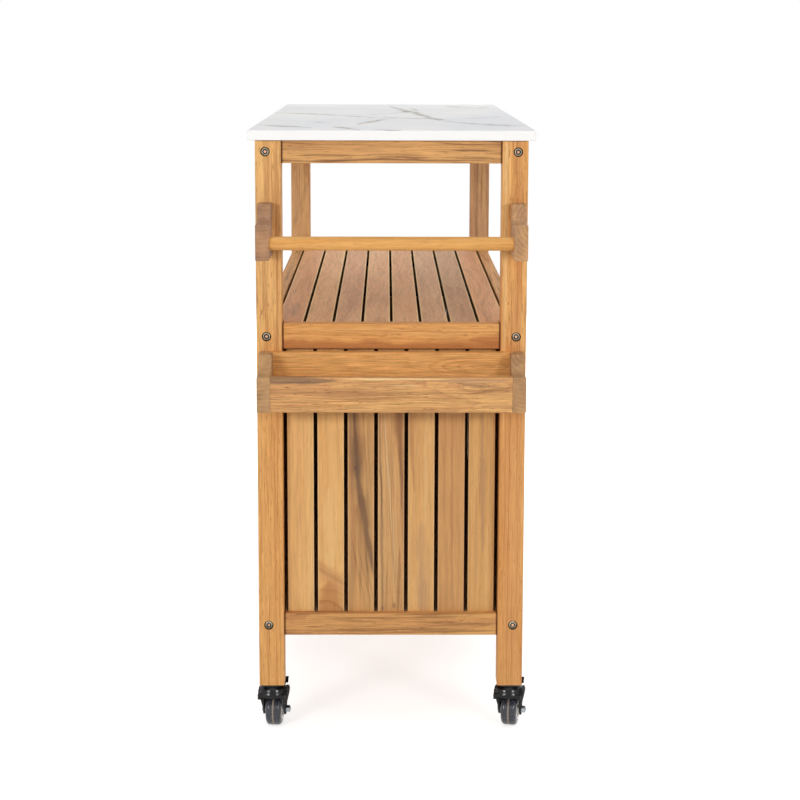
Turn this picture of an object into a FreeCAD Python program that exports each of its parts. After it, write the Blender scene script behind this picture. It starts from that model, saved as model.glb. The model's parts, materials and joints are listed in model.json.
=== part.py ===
import FreeCAD, Part
import math
import os

# Whole cart, in millimetres
overall_height = 920.0
frame_width = 400.0
frame_length = 1040.0
fit_clearance = 0.2
same_place = 1e-6

# Stone top
top_thickness = 15.0
top_overhang = 10.0
top_edge = 1.5

# Corner posts
post_size = 38.0
post_edge = 2.0

# Rails between the posts
rail_thickness = 20.0
rail_recess = 5.0
rail_edge = 1.5
top_rail_height = 34.0
middle_rail_height = 38.0
bottom_rail_height = 34.0
foot_length = 78.0
cabinet_height = 407.5
tenon_thickness = 8.0
tenon_length = 14.0
tenon_shoulder = 6.0

# Upright slats of the near end panel and boards of the far end and the back
slat_thickness = 8.0
slat_edge = 1.2
rebate_height = 8.0
end_slat_count = 7
end_slat_gap = 5.5
back_board_count = 21
board_gap = 0.5

# Long slats of the shelf and the closed cabinet floor, and the battens under them
deck_slat_count = 8
deck_slat_gap = 4.0
deck_slat_thickness = 12.0
deck_end_gap = 1.0
batten_width = 24.0
batten_height = 18.0
batten_inset = 45.0
dado_depth = 8.0

# Hex-socket bolts and barrel nuts of the side rails
bolt_diameter = 6.0
bolt_length = 65.0
bolt_head_diameter = 11.0
bolt_head_height = 3.4
bolt_head_dome = 2.2
bolt_socket = 4.0
bolt_socket_depth = 2.0
bolt_hole_room = 0.6
counterbore_diameter = 14.0
counterbore_depth = 4.5
barrel_diameter = 10.0
barrel_length = 15.0
barrel_inset = 24.0

# Coved brackets of the towel bar and sides of the rack
bracket_thickness = 20.0
bracket_height = 77.0
bracket_depth = 80.0
bracket_front = 52.0
bracket_top_depth = 34.0
bracket_edge = 1.8
towel_bracket_drop = 168.0
bar_diameter = 20.0
bar_lift = 24.0
bar_setback = 13.0
bar_socket = 10.0

# Rack boards
rack_drop = 79.5
rack_board_thickness = 12.0
rack_floor_thickness = 10.0
rack_floor_lift = 4.0
rack_front_setback = 1.5
rack_dado = 5.0
rack_edge = 1.5

# Screws from behind the near posts
screw_diameter = 4.5
screw_length = 60.0
screw_head_diameter = 9.0
screw_head_height = 3.0
screw_head_seat = 4.0
screw_slot = 1.2
screw_inset = 20.0

# Doors
door_recess = 10.0
door_thickness = 18.0
door_gap = 3.0
stile_width = 45.0
door_rail_height = 45.0
door_edge = 1.5
door_tenon_thickness = 6.0
door_tenon_length = 20.0
door_board_count = 9
door_rebate = 8.0
knob_diameter = 26.0
knob_neck = 12.0
knob_reach = 18.0
knob_cap = 10.0
knob_round = 4.0
knob_spigot_diameter = 8.0
knob_spigot_length = 12.0

# Butt hinges, strike plates and the magnetic catch
hinge_height = 50.0
hinge_inset = 60.0
leaf_thickness = 1.5
leaf_width = 20.0
leaf_room = 0.5
knuckle_diameter = 6.0
knuckle_room = 0.3
hinge_pin_diameter = 3.0
pin_clearance = 0.05
strike_size = 14.0
strike_thickness = 1.2
strike_inset = 6.0
catch_length = 60.0
catch_depth = 18.0
catch_gap = 0.4
catch_overlap = 14.0

# Casters
wheel_diameter = 50.0
wheel_width = 24.0
tread_round = 6.0
seam_width = 2.4
seam_depth = 0.4
hub_diameter = 31.0
hub_width = 24.6
hub_rib_diameter = 36.0
hub_rib_width = 10.0
hub_boss_diameter = 13.0
hub_recess = 2.0
hub_rim = 3.0
hub_bore_clearance = 0.05
axle_diameter = 6.0
axle_hex = 10.0
axle_head_height = 1.8
axle_nut_height = 6.0
axle_tail = 1.0
trail = 20.0
arm_thickness = 2.5
arm_room = 3.0
arm_inset = 2.0
boss_radius = 9.0
crown_diameter = 45.0
crown_thickness = 5.5
crown_room = 5.5
bead_diameter = 43.0
bead_height = 2.0
bevel_height = 2.5
collar_diameter = 41.0
collar_top_diameter = 34.0
collar_height = 3.5
arm_skirt_drop = 9.0
arm_shoulder_drop = 24.0
arm_front = 19.0
arm_lead = 3.0
arm_drop = 3.0
arm_rear = 36.0
stem_diameter = 8.0
stem_length = 28.0
flange_diameter = 35.0
flange_height = 4.0
kingpin_diameter = 9.0
rivet_diameter = 15.0
rivet_height = 2.5
swivel_gap = 0.5

# Brake pedals
pedal_pivot_back = 31.0
pedal_pivot_height = 53.0
pedal_pin_diameter = 4.0
pedal_pin_head = 7.0
pedal_pin_head_height = 1.2
pedal_hub_diameter = 8.4
pedal_width = 36.0
pedal_upper_width = 36.0
pedal_thickness = 3.0
pedal_room = 0.6
pedal_setback = 2.8
pedal_lower_reach = 19.0
pedal_lower_drop = 7.0
pedal_upper_reach = 13.0
pedal_upper_rise = 15.0
shoe_width = 16.0
shoe_reach = 5.4
shoe_angle = 32.0
pedal_travel = 18.0
shoe_radius = 1.5

# Swivel angles of the four casters as they stand, in degrees to the right
caster_angles = {
    "near_left": 5.5,
    "near_right": 12.5,
    "far_left": 168.0,
    "far_right": 186.0,
}

# Places worked out from the sizes
crown_height = crown_thickness + bead_height + 2 * bevel_height + collar_height
caster_height = wheel_diameter + crown_room + crown_height + swivel_gap + flange_height
cabinet_floor_top = caster_height + foot_length + bottom_rail_height
shelf_top = cabinet_floor_top + cabinet_height + middle_rail_height
frame_top = overall_height - top_thickness
half_width = frame_width / 2
inner_x = half_width - post_size
near_y = bracket_depth - (bracket_depth + frame_length + top_overhang) / 2
far_y = near_y + frame_length
mid_y = (near_y + far_y) / 2
bay_near_y = near_y + post_size
bay_far_y = far_y - post_size
side_outer_x = half_width - rail_recess
side_inner_x = side_outer_x - rail_thickness
side_mid_x = (side_outer_x + side_inner_x) / 2
end_outer_y = near_y + rail_recess
end_inner_y = end_outer_y + rail_thickness
end_slat_y = end_inner_y - slat_thickness
back_board_x = side_inner_x + slat_thickness
rail_levels = {
    "top": (frame_top - top_rail_height, frame_top),
    "middle": (shelf_top - middle_rail_height, shelf_top),
    "bottom": (cabinet_floor_top - bottom_rail_height, cabinet_floor_top),
}
cabinet_ceiling = rail_levels["middle"][0]
deck_levels = (shelf_top, cabinet_floor_top)
slat_span = (cabinet_floor_top - rebate_height, cabinet_ceiling + rebate_height)
batten_reach = batten_inset + batten_width / 2
batten_ys = (bay_near_y + batten_reach, mid_y, bay_far_y - batten_reach)
bolt_heights = [(low + high) / 2 for low, high in rail_levels.values()]
towel_bracket_base = frame_top - towel_bracket_drop
rack_base = cabinet_ceiling - rack_drop
bracket_bases = (towel_bracket_base, rack_base)
screw_heights = [
    height
    for base in bracket_bases
    for height in (base + screw_inset, base + bracket_height - screw_inset)
]

axis_x = FreeCAD.Vector(1, 0, 0)
axis_y = FreeCAD.Vector(0, 1, 0)
axis_z = FreeCAD.Vector(0, 0, 1)
origin = FreeCAD.Vector(0, 0, 0)


# Small helpers

def block(x_range, y_range, z_range):
    size = [high - low for low, high in (x_range, y_range, z_range)]
    corner = FreeCAD.Vector(x_range[0], y_range[0], z_range[0])
    return Part.makeBox(size[0], size[1], size[2], corner)


def rod(diameter, length, start, direction):
    return Part.makeCylinder(diameter / 2, length, start, direction)


def edges_along(shape, direction):
    found = []
    for edge in shape.Edges:
        if edge.Curve.TypeId != "Part::GeomLine":
            continue
        if abs(abs(edge.tangentAt(edge.FirstParameter).dot(direction)) - 1) < same_place:
            found.append(edge)
    return found


def circles(shape):
    return [edge for edge in shape.Edges if edge.Curve.TypeId == "Part::GeomCircle"]


def eased_block(x_range, y_range, z_range, direction, radius):
    shape = block(x_range, y_range, z_range)
    return shape.makeFillet(radius, edges_along(shape, direction))


def prism(points, extrusion):
    return Part.Face(Part.makePolygon(points + [points[0]])).extrude(extrusion)


def mirrored_x(shape):
    return shape.mirror(origin, axis_x)


def mirrored_y(shape):
    return shape.mirror(FreeCAD.Vector(0, mid_y, 0), axis_y)


def hexagon(across_flats, height, start, direction):
    corner_radius = across_flats / math.sqrt(3)
    ring = [
        FreeCAD.Vector(
            corner_radius * math.cos(math.radians(60 * step)),
            corner_radius * math.sin(math.radians(60 * step)),
            0,
        )
        for step in range(6)
    ]
    shape = prism(ring, axis_z * height)
    shape.Placement = FreeCAD.Placement(start, FreeCAD.Rotation(axis_z, direction))
    return shape


def spread(low, high, count, gap):
    width = (high - low - (count - 1) * gap) / count
    return [(low + step * (width + gap), low + step * (width + gap) + width) for step in range(count)]


# Countertop

def make_countertop():
    reach = half_width + top_overhang
    y_range = (near_y - top_overhang, far_y + top_overhang)
    slab = block((-reach, reach), y_range, (frame_top, overall_height))
    return slab.makeFillet(top_edge, slab.Edges)


# End rails, with a tenon at each end and a rebate for the slats

def tenon_bar(level, room):
    low, high = rail_levels[level]
    mid = (end_outer_y + end_inner_y) / 2
    half = tenon_thickness / 2 + room
    reach = inner_x + tenon_length + room
    z_range = (low + tenon_shoulder - room, high - tenon_shoulder + room)
    return block((-reach, reach), (mid - half, mid + half), z_range)


def make_end_rail(level):
    rail = eased_block(
        (-inner_x, inner_x), (end_outer_y, end_inner_y), rail_levels[level], axis_x, rail_edge
    )
    rail = rail.fuse(tenon_bar(level, 0)).removeSplitter()
    low, high = rail_levels[level]
    if level == "middle":
        rail = rail.cut(block((-inner_x, inner_x), (end_slat_y, end_inner_y), (low, slat_span[1])))
    if level == "bottom":
        rail = rail.cut(block((-inner_x, inner_x), (end_slat_y, end_inner_y), (slat_span[0], high)))
    return rail


# Bolts along the cart, from each post into a side rail

def bolt_hole(height):
    start = FreeCAD.Vector(side_mid_x, near_y, height)
    depth = counterbore_depth + bolt_length + bolt_hole_room
    shank = rod(bolt_diameter + bolt_hole_room, depth, start, axis_y)
    return shank.fuse(rod(counterbore_diameter, counterbore_depth, start, axis_y))


def barrel_y():
    return bay_near_y + barrel_inset


def make_bolt(height):
    seat = FreeCAD.Vector(side_mid_x, near_y + counterbore_depth, height)
    head = rod(bolt_head_diameter, bolt_head_height, seat, -axis_y)
    rim = [edge for edge in circles(head) if edge.CenterOfMass.y < seat.y - bolt_head_height / 2]
    head = head.makeFillet(bolt_head_dome, rim)
    crown = seat - axis_y * bolt_head_height
    head = head.cut(hexagon(bolt_socket, bolt_socket_depth, crown, axis_y))
    return head.fuse(rod(bolt_diameter, bolt_length, seat, axis_y))


def make_barrel_nut(height):
    start = FreeCAD.Vector(side_mid_x - barrel_length / 2, barrel_y(), height)
    barrel = rod(barrel_diameter, barrel_length, start, axis_x)
    thread_start = FreeCAD.Vector(side_mid_x, barrel_y() - barrel_diameter, height)
    return barrel.cut(rod(bolt_diameter + fit_clearance, 2 * barrel_diameter, thread_start, axis_y))


def make_frame_bolts():
    corner = []
    for height in bolt_heights:
        corner += [make_bolt(height), make_barrel_nut(height)]
    near = corner + [mirrored_x(shape) for shape in corner]
    return Part.makeCompound(near + [mirrored_y(shape) for shape in near])


# Posts, drilled for the rails, the bolts, the brackets and the caster stem

def make_post(takes_brackets):
    post = eased_block(
        (inner_x, half_width), (near_y, bay_near_y), (caster_height, frame_top), axis_z, post_edge
    )
    holes = [tenon_bar(level, fit_clearance) for level in rail_levels]
    holes += [bolt_hole(height) for height in bolt_heights]
    foot = FreeCAD.Vector(half_width - post_size / 2, near_y + post_size / 2, caster_height)
    holes.append(rod(stem_diameter + fit_clearance, stem_length + fit_clearance, foot, axis_z))
    if takes_brackets:
        holes += [screw_hole(height) for height in screw_heights]
    return post.cut(Part.makeCompound(holes))


# Side rails, with bolt and barrel holes, dados for the battens and a rebate for the back boards

def batten_block(deck, y, room):
    high = deck - deck_slat_thickness
    reach = side_inner_x + dado_depth - fit_clearance + room
    half = batten_width / 2 + room
    return block((-reach, reach), (y - half, y + half), (high - batten_height - room, high))


def make_side_rail(level, takes_boards):
    rail = eased_block(
        (side_inner_x, side_outer_x), (bay_near_y, bay_far_y), rail_levels[level], axis_y, rail_edge
    )
    low, high = rail_levels[level]
    mid = (low + high) / 2
    pocket_length = side_mid_x + barrel_length / 2 - side_inner_x + rail_thickness
    pocket_start = FreeCAD.Vector(side_inner_x - rail_thickness, barrel_y(), mid)
    pocket = rod(barrel_diameter + fit_clearance, pocket_length, pocket_start, axis_x)
    corner = bolt_hole(mid).fuse(pocket)
    cuts = [corner, mirrored_y(corner)]
    if level != "top":
        cuts += [batten_block(high, y, fit_clearance) for y in batten_ys]
    if takes_boards and level == "middle":
        cuts.append(block((side_inner_x, back_board_x), (bay_near_y, bay_far_y), (low, slat_span[1])))
    if takes_boards and level == "bottom":
        cuts.append(block((side_inner_x, back_board_x), (bay_near_y, bay_far_y), (slat_span[0], high)))
    for cut in cuts:
        rail = rail.cut(cut)
    return rail


# Upright slats and boards

def end_slat_row(gap):
    z_range = (slat_span[0], slat_span[1] - fit_clearance)
    return [
        eased_block(x_range, (end_slat_y, end_inner_y), z_range, axis_z, slat_edge)
        for x_range in spread(-inner_x + gap, inner_x - gap, end_slat_count, gap)
    ]


def make_end_slats():
    far_boards = [mirrored_y(board) for board in end_slat_row(board_gap)]
    return Part.makeCompound(end_slat_row(end_slat_gap) + far_boards)


def make_back_boards():
    boards = []
    for y_range in spread(bay_near_y + board_gap, bay_far_y - board_gap, back_board_count, board_gap):
        z_range = (slat_span[0], slat_span[1] - fit_clearance)
        boards.append(eased_block((-back_board_x, -side_inner_x), y_range, z_range, axis_z, slat_edge))
    return Part.makeCompound(boards)


# Decks of long slats, notched round the posts

def make_deck(deck, gap):
    start = end_inner_y + deck_end_gap
    end = 2 * mid_y - start
    notch_x = inner_x - deck_end_gap
    near_notch = block((notch_x, half_width), (near_y, bay_near_y + deck_end_gap), (0, overall_height))
    notches = [near_notch, mirrored_x(near_notch)]
    notches += [mirrored_y(notch) for notch in notches]
    slats = []
    for x_range in spread(-side_inner_x + gap, side_inner_x - gap, deck_slat_count, gap):
        slat = eased_block(x_range, (start, end), (deck - deck_slat_thickness, deck), axis_y, slat_edge)
        slats.append(slat.cut(Part.makeCompound(notches)))
    return Part.makeCompound(slats)


def make_battens():
    return Part.makeCompound([batten_block(deck, y, 0) for deck in deck_levels for y in batten_ys])


# Coved brackets, the towel bar and the rack on the near end

def coved_bracket(base):
    ledge = bracket_front
    cove = bracket_height - ledge
    x = side_mid_x - bracket_thickness / 2

    def point(out, up):
        return FreeCAD.Vector(x, near_y - out, base + up)

    corners = [
        point(bracket_top_depth, bracket_height),
        point(0, bracket_height),
        point(0, 0),
        point(bracket_depth, 0),
        point(bracket_depth, ledge),
        point(bracket_top_depth + cove, ledge),
    ]
    slope = cove * (1 - math.sqrt(0.5))
    arc = Part.Arc(corners[-1], point(bracket_top_depth + slope, ledge + slope), corners[0])
    wire = Part.Wire(Part.makePolygon(corners).Edges + [arc.toShape()])
    shape = Part.Face(wire).extrude(axis_x * bracket_thickness)
    outer = [edge for edge in shape.Edges if max(v.Y for v in edge.Vertexes) < near_y - fit_clearance]
    ends = [
        edge
        for edge in shape.Edges
        if edge not in outer and min(v.Y for v in edge.Vertexes) < near_y - fit_clearance
    ]
    ledge_line = [
        edge
        for edge in outer
        if abs(edge.CenterOfMass.y - corners[-1].y) < same_place
        and abs(edge.CenterOfMass.z - corners[-1].z) < same_place
    ]
    eased = [edge for edge in outer + ends if edge not in ledge_line]
    return shape.makeFillet(bracket_edge, eased)


def screw_hole(height):
    seat = FreeCAD.Vector(side_mid_x, bay_near_y - screw_head_seat, height)
    shank = rod(screw_diameter + fit_clearance, screw_length + fit_clearance, seat, -axis_y)
    return shank.fuse(rod(screw_head_diameter + fit_clearance, screw_head_seat, seat, axis_y))


def make_screw(height):
    seat = FreeCAD.Vector(side_mid_x, bay_near_y - screw_head_seat, height)
    screw = rod(screw_diameter, screw_length, seat, -axis_y)
    screw = screw.fuse(rod(screw_head_diameter, screw_head_height, seat, axis_y))
    half = screw_slot / 2
    slot_y = seat.y + screw_head_height
    reach = screw_head_diameter
    slot = block(
        (seat.x - reach, seat.x + reach), (slot_y - screw_slot, slot_y), (height - half, height + half)
    )
    return screw.cut(slot)


def make_bracket_screws():
    right = [make_screw(height) for height in screw_heights]
    return Part.makeCompound(right + [mirrored_x(screw) for screw in right])


def bar_centre():
    return near_y - bracket_depth + bar_setback, towel_bracket_base + bar_lift


def bar_rod(reach, room):
    y, z = bar_centre()
    return rod(bar_diameter + 2 * room, 2 * reach, FreeCAD.Vector(-reach, y, z), axis_x)


def bracket_inner_x():
    return side_mid_x - bracket_thickness / 2


def make_towel_bar():
    return bar_rod(bracket_inner_x() + bar_socket - fit_clearance, 0)


def make_towel_brackets():
    bracket = coved_bracket(towel_bracket_base)
    socket = bar_rod(bracket_inner_x() + bar_socket, fit_clearance / 2)
    bracket = bracket.cut(socket)
    for height in screw_heights[:2]:
        bracket = bracket.cut(screw_hole(height))
    return Part.makeCompound([bracket, mirrored_x(bracket)])


def rack_front_y():
    return near_y - bracket_depth + rack_front_setback


def rack_back_block(room):
    reach = bracket_inner_x() + rack_dado - fit_clearance + room
    return block((-reach, reach), (near_y - rack_board_thickness - room, near_y),
                 (rack_base, rack_base + bracket_height))


def rack_floor_block(room):
    reach = bracket_inner_x() + rack_dado - fit_clearance + room
    low = rack_base + rack_floor_lift
    y_range = (rack_front_y() + rack_board_thickness, near_y - rack_board_thickness)
    return block((-reach, reach), y_range, (low - room, low + rack_floor_thickness + room))


def make_rack_sides():
    side = coved_bracket(rack_base)
    side = side.cut(rack_back_block(fit_clearance)).cut(rack_floor_block(fit_clearance))
    for height in screw_heights[2:]:
        side = side.cut(screw_hole(height))
    return Part.makeCompound([side, mirrored_x(side)])


def make_rack_front():
    front_y = rack_front_y()
    reach = bracket_inner_x()
    return eased_block((-reach, reach), (front_y, front_y + rack_board_thickness),
                       (rack_base, rack_base + bracket_front), axis_x, rack_edge)


# Doors on the right side, each a frame with boards set in its rebate

def door_face_x():
    return half_width - door_recess


def door_y_range():
    return bay_near_y + hinge_gap(), mid_y - door_gap / 2


def hinge_gap():
    return 2 * leaf_thickness + leaf_room


def door_z_range():
    return cabinet_floor_top + door_gap, cabinet_ceiling - door_gap


def door_opening():
    y_low, y_high = door_y_range()
    z_low, z_high = door_z_range()
    y_range = (y_low + stile_width, y_high - stile_width)
    z_range = (z_low + door_rail_height, z_high - door_rail_height)
    return y_range, z_range


def door_pocket():
    x = door_face_x() - door_thickness
    y_range, z_range = door_opening()
    wide = (y_range[0] - door_rebate, y_range[1] + door_rebate)
    tall = (z_range[0] - door_rebate, z_range[1] + door_rebate)
    return (x, x + slat_thickness), wide, tall


def door_tenons(z_range, room):
    back = door_face_x() - (door_thickness - slat_thickness + door_tenon_thickness) / 2
    y_range = door_opening()[0]
    reach = door_tenon_length + room
    return block(
        (back - room, back + door_tenon_thickness + room),
        (y_range[0] - reach, y_range[1] + reach),
        (z_range[0] + door_rebate - room, z_range[1] - door_rebate + room),
    )


def make_door_frame():
    x_range = (door_face_x() - door_thickness, door_face_x())
    y_low, y_high = door_y_range()
    z_low, z_high = door_z_range()
    y_open, z_open = door_opening()
    rails_z = ((z_low, z_open[0]), (z_open[1], z_high))
    pocket = block(*door_pocket())
    pieces = []
    for y_range in ((y_low, y_open[0]), (y_open[1], y_high)):
        stile = eased_block(x_range, y_range, (z_low, z_high), axis_z, door_edge).cut(pocket)
        for z_range in rails_z:
            stile = stile.cut(door_tenons(z_range, fit_clearance))
        pieces.append(stile.cut(knob_spigot(fit_clearance / 2)))
    for z_range in rails_z:
        rail = eased_block(x_range, y_open, z_range, axis_y, door_edge)
        pieces.append(rail.fuse(door_tenons(z_range, 0)).removeSplitter().cut(pocket))
    return Part.makeCompound(pieces)


def make_door_boards():
    x_range, wide, tall = door_pocket()
    z_range = (tall[0], tall[1] - fit_clearance)
    low = wide[0] + fit_clearance
    high = wide[1] - fit_clearance
    boards = []
    for y_range in spread(low, high, door_board_count, board_gap):
        boards.append(eased_block(x_range, y_range, z_range, axis_z, slat_edge))
    return Part.makeCompound(boards)


def knob_place():
    y = door_y_range()[1] - stile_width / 2
    z = sum(door_z_range()) / 2
    return FreeCAD.Vector(door_face_x(), y, z)


def knob_spigot(room):
    return rod(knob_spigot_diameter + 2 * room, knob_spigot_length + room, knob_place(), -axis_x)


def make_knob():
    place = knob_place()
    neck = rod(knob_neck, knob_reach, place, axis_x)
    cap_start = place + axis_x * (knob_reach - knob_cap)
    cap = rod(knob_diameter, knob_cap, cap_start, axis_x)
    cap = cap.makeFillet(knob_round, circles(cap))
    return cap.fuse([neck, knob_spigot(0)]).removeSplitter()


# Butt hinges: the pin stands in front of the door face, beside the post

def hinge_axis():
    offset = knuckle_diameter / 2 + knuckle_room
    return door_face_x() + offset, bay_near_y + offset


def hinge_bases():
    z_low, z_high = door_z_range()
    return z_low + hinge_inset, z_high - hinge_inset - hinge_height


def knuckle(base, height):
    x, y = hinge_axis()
    return rod(knuckle_diameter, height, FreeCAD.Vector(x, y, base), axis_z)


def leaf(y_range, base):
    x = hinge_axis()[0]
    return block((x - leaf_width, x), y_range, (base, base + hinge_height))


def knuckle_window(z_range):
    x, y = hinge_axis()
    reach = knuckle_diameter / 2 + knuckle_room
    return block((x - reach, x + reach), (y - reach, y + reach), z_range)


def hinge_thirds(base):
    third = hinge_height / 3
    return base + third, base + 2 * third


def post_leaf(base):
    low, high = hinge_thirds(base)
    x, y = hinge_axis()
    plate = leaf((bay_near_y, bay_near_y + leaf_thickness), base)
    shape = plate.fuse([knuckle(base, low - base), knuckle(high, base + hinge_height - high)])
    shape = shape.cut(knuckle_window((low - knuckle_room, high + knuckle_room)))
    return shape.fuse(rod(hinge_pin_diameter, hinge_height, FreeCAD.Vector(x, y, base), axis_z))


def door_leaf(base):
    low, high = hinge_thirds(base)
    x, y = hinge_axis()
    edge = bay_near_y + hinge_gap()
    plate = leaf((edge - leaf_thickness, edge), base)
    plate = plate.cut(knuckle_window((base, low))).cut(knuckle_window((high, base + hinge_height)))
    shape = plate.fuse(knuckle(low, high - low))
    bore = rod(hinge_pin_diameter + 2 * pin_clearance, hinge_height, FreeCAD.Vector(x, y, base), axis_z)
    return shape.cut(bore)


def catch_top():
    return shelf_top - deck_slat_thickness - batten_height


def make_fixed_hinges_and_catch():
    near = [post_leaf(base) for base in hinge_bases()]
    front = door_face_x() - door_thickness - strike_thickness - catch_gap
    y_range = (mid_y - catch_length / 2, mid_y + catch_length / 2)
    z_low = door_z_range()[1] - strike_inset - catch_overlap
    catch = block((front - catch_depth, front), y_range, (z_low, catch_top()))
    return Part.makeCompound(near + [mirrored_y(shape) for shape in near] + [catch])


def make_door_hinges_and_strike():
    inner = door_face_x() - door_thickness
    y_high = door_y_range()[1] - strike_inset
    z_high = door_z_range()[1] - strike_inset
    y_range = (y_high - strike_size, y_high)
    z_range = (z_high - strike_size, z_high)
    strike = block((inner - strike_thickness, inner), y_range, z_range)
    return Part.makeCompound([door_leaf(base) for base in hinge_bases()] + [strike])


# Casters: swivel axis through the origin, trailing along +Y, axle along X

def fork_inner():
    return wheel_width / 2 + arm_room


def crown_base():
    return wheel_diameter + crown_room


def axle_centre():
    return FreeCAD.Vector(0, trail, wheel_diameter / 2)


def tangent_point(start, centre, radius, turn):
    offset = start - centre
    angle = math.atan2(offset.z, offset.y) + turn * math.acos(radius / offset.Length)
    return centre + FreeCAD.Vector(0, math.cos(angle), math.sin(angle)) * radius


def make_stem():
    stem = rod(stem_diameter, stem_length, axis_z * caster_height, axis_z)
    flange = rod(flange_diameter, flange_height, axis_z * (caster_height - flange_height), axis_z)
    rivet_base = crown_base() - swivel_gap - rivet_height
    kingpin = rod(kingpin_diameter, caster_height - rivet_base, axis_z * rivet_base, axis_z)
    rivet = rod(rivet_diameter, rivet_height, axis_z * rivet_base, axis_z)
    return stem.fuse([flange, kingpin, rivet]).removeSplitter()


def fork_half_width():
    return crown_diameter / 2 - arm_inset


def fork_front_outline():
    top = crown_base() + crown_thickness
    wide = fork_half_width()
    slim = fork_inner() + arm_thickness
    low = wheel_diameter / 2 - boss_radius
    skirt = crown_base() - arm_skirt_drop
    knee = crown_base() - arm_shoulder_drop
    half = [
        (wide, top),
        (wide, skirt),
        (slim, knee),
        (slim, low),
        (fork_inner(), low),
        (fork_inner(), crown_base()),
    ]
    return half + [(-x, z) for x, z in reversed(half)]


def fork_side_shape(width):
    centre = axle_centre()
    top = crown_base() + crown_thickness
    front = FreeCAD.Vector(0, arm_lead, crown_base() - arm_skirt_drop)
    rear = FreeCAD.Vector(0, arm_rear, pedal_pivot_height - pedal_hub_diameter / 2)
    outline = [
        FreeCAD.Vector(0, -arm_front, top),
        FreeCAD.Vector(0, -arm_front, crown_base() - arm_drop),
        front,
        tangent_point(front, centre, boss_radius, 1),
        centre,
        tangent_point(rear, centre, boss_radius, -1),
        rear,
        FreeCAD.Vector(0, arm_rear, pedal_pivot_height + pedal_hub_diameter / 2),
        FreeCAD.Vector(0, arm_rear - pedal_hub_diameter, top),
    ]
    start = -axis_x * width
    plate = prism([point + start for point in outline], axis_x * 2 * width)
    return plate.fuse(rod(2 * boss_radius, 2 * width, centre + start, axis_x))


def pedal_window():
    half = fork_half_width() - arm_thickness
    start = pedal_pivot_back - pedal_hub_diameter / 2 - pedal_room
    return block((-half, half), (start, 2 * arm_rear), (crown_base(), caster_height))


def make_crown():
    rings = [
        (crown_diameter, crown_thickness),
        (bead_diameter, bevel_height),
        (bead_diameter, bead_height),
        (collar_diameter, bevel_height),
        (collar_top_diameter, collar_height),
    ]
    height = crown_base()
    outline = [(0, height), (crown_diameter / 2, height)]
    for diameter, rise in rings:
        height += rise
        outline.append((diameter / 2, height))
    outline += [(0, height), outline[0]]
    face = Part.Face(Part.makePolygon([FreeCAD.Vector(r, 0, z) for r, z in outline]))
    return face.revolve(origin, axis_z, 360)


def make_fork():
    reach = crown_diameter
    ends = [FreeCAD.Vector(x, -reach, z) for x, z in fork_front_outline()]
    arms = prism(ends, axis_y * 2 * reach).common(fork_side_shape(reach))
    fork = arms.cut(pedal_window()).fuse(make_crown()).removeSplitter()
    bores = [
        rod(kingpin_diameter + 2 * pin_clearance, caster_height, origin, axis_z),
        rod(axle_diameter + fit_clearance, 2 * reach, axle_centre() - axis_x * reach, axis_x),
        rod(pedal_pin_diameter + fit_clearance, 2 * reach, pedal_pivot() - axis_x * reach, axis_x),
    ]
    return fork.cut(Part.makeCompound(bores))


def pedal_pivot():
    return FreeCAD.Vector(0, pedal_pivot_back, pedal_pivot_height)


def make_axle():
    seat = fork_inner() + arm_thickness
    centre = axle_centre()
    length = 2 * seat + axle_nut_height + axle_tail
    bolt = rod(axle_diameter, length, centre - axis_x * seat, axis_x)
    bolt = bolt.fuse(hexagon(axle_hex, axle_head_height, centre - axis_x * seat, -axis_x))
    nut = hexagon(axle_hex, axle_nut_height, centre + axis_x * seat, axis_x)
    nut = nut.cut(rod(axle_diameter + fit_clearance, length, centre, axis_x))
    pin_reach = fork_half_width() + fit_clearance
    pin = rod(pedal_pin_diameter, 2 * pin_reach, pedal_pivot() - axis_x * pin_reach, axis_x)
    heads = [
        rod(pedal_pin_head, pedal_pin_head_height, pedal_pivot() + side * pin_reach, side)
        for side in (-axis_x, axis_x)
    ]
    return Part.makeCompound([bolt, nut, pin.fuse(heads)])


def turned(outline):
    points = [FreeCAD.Vector(x, trail, wheel_diameter / 2 + r) for x, r in outline]
    face = Part.Face(Part.makePolygon(points + [points[0]]))
    return face.revolve(axle_centre(), axis_x, 360)


def make_hub():
    bore = axle_diameter / 2 + hub_bore_clearance
    boss = fork_inner() - swivel_gap
    wide = hub_width / 2
    rim = hub_diameter / 2
    rib = hub_rib_width / 2
    dish = wide - hub_recess
    half = [
        (boss, bore),
        (boss, hub_boss_diameter / 2),
        (dish, hub_boss_diameter / 2),
        (dish, rim - hub_rim),
        (wide, rim - hub_rim),
        (wide, rim),
        (rib, rim),
        (rib, hub_rib_diameter / 2),
    ]
    return turned(half + [(-x, r) for x, r in reversed(half)])


def make_tyre():
    seat = pin_clearance
    wide = wheel_width / 2
    rim = hub_diameter / 2 + seat
    rib = hub_rib_width / 2 + seat
    tread = wheel_diameter / 2
    seam = seam_width / 2
    half = [
        (rib, hub_rib_diameter / 2 + seat),
        (rib, rim),
        (wide, rim),
        (wide, tread),
        (seam, tread),
        (seam, tread - seam_depth),
    ]
    tyre = turned(half + [(-x, r) for x, r in reversed(half)])
    shoulders = [
        edge
        for edge in tyre.Edges
        if abs(abs(edge.CenterOfMass.x) - wide) < same_place
        and abs(edge.Curve.Radius - tread) < same_place
    ]
    return tyre.makeFillet(tread_round, shoulders)


def pedal_plate(start, end, width):
    run = end - start
    normal = FreeCAD.Vector(0, -run.z, run.y).normalize() * (pedal_thickness / 2)
    shift = -axis_x * width / 2
    corners = [start - normal, end - normal, end + normal, start + normal]
    return prism([corner + shift for corner in corners], axis_x * width)


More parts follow.
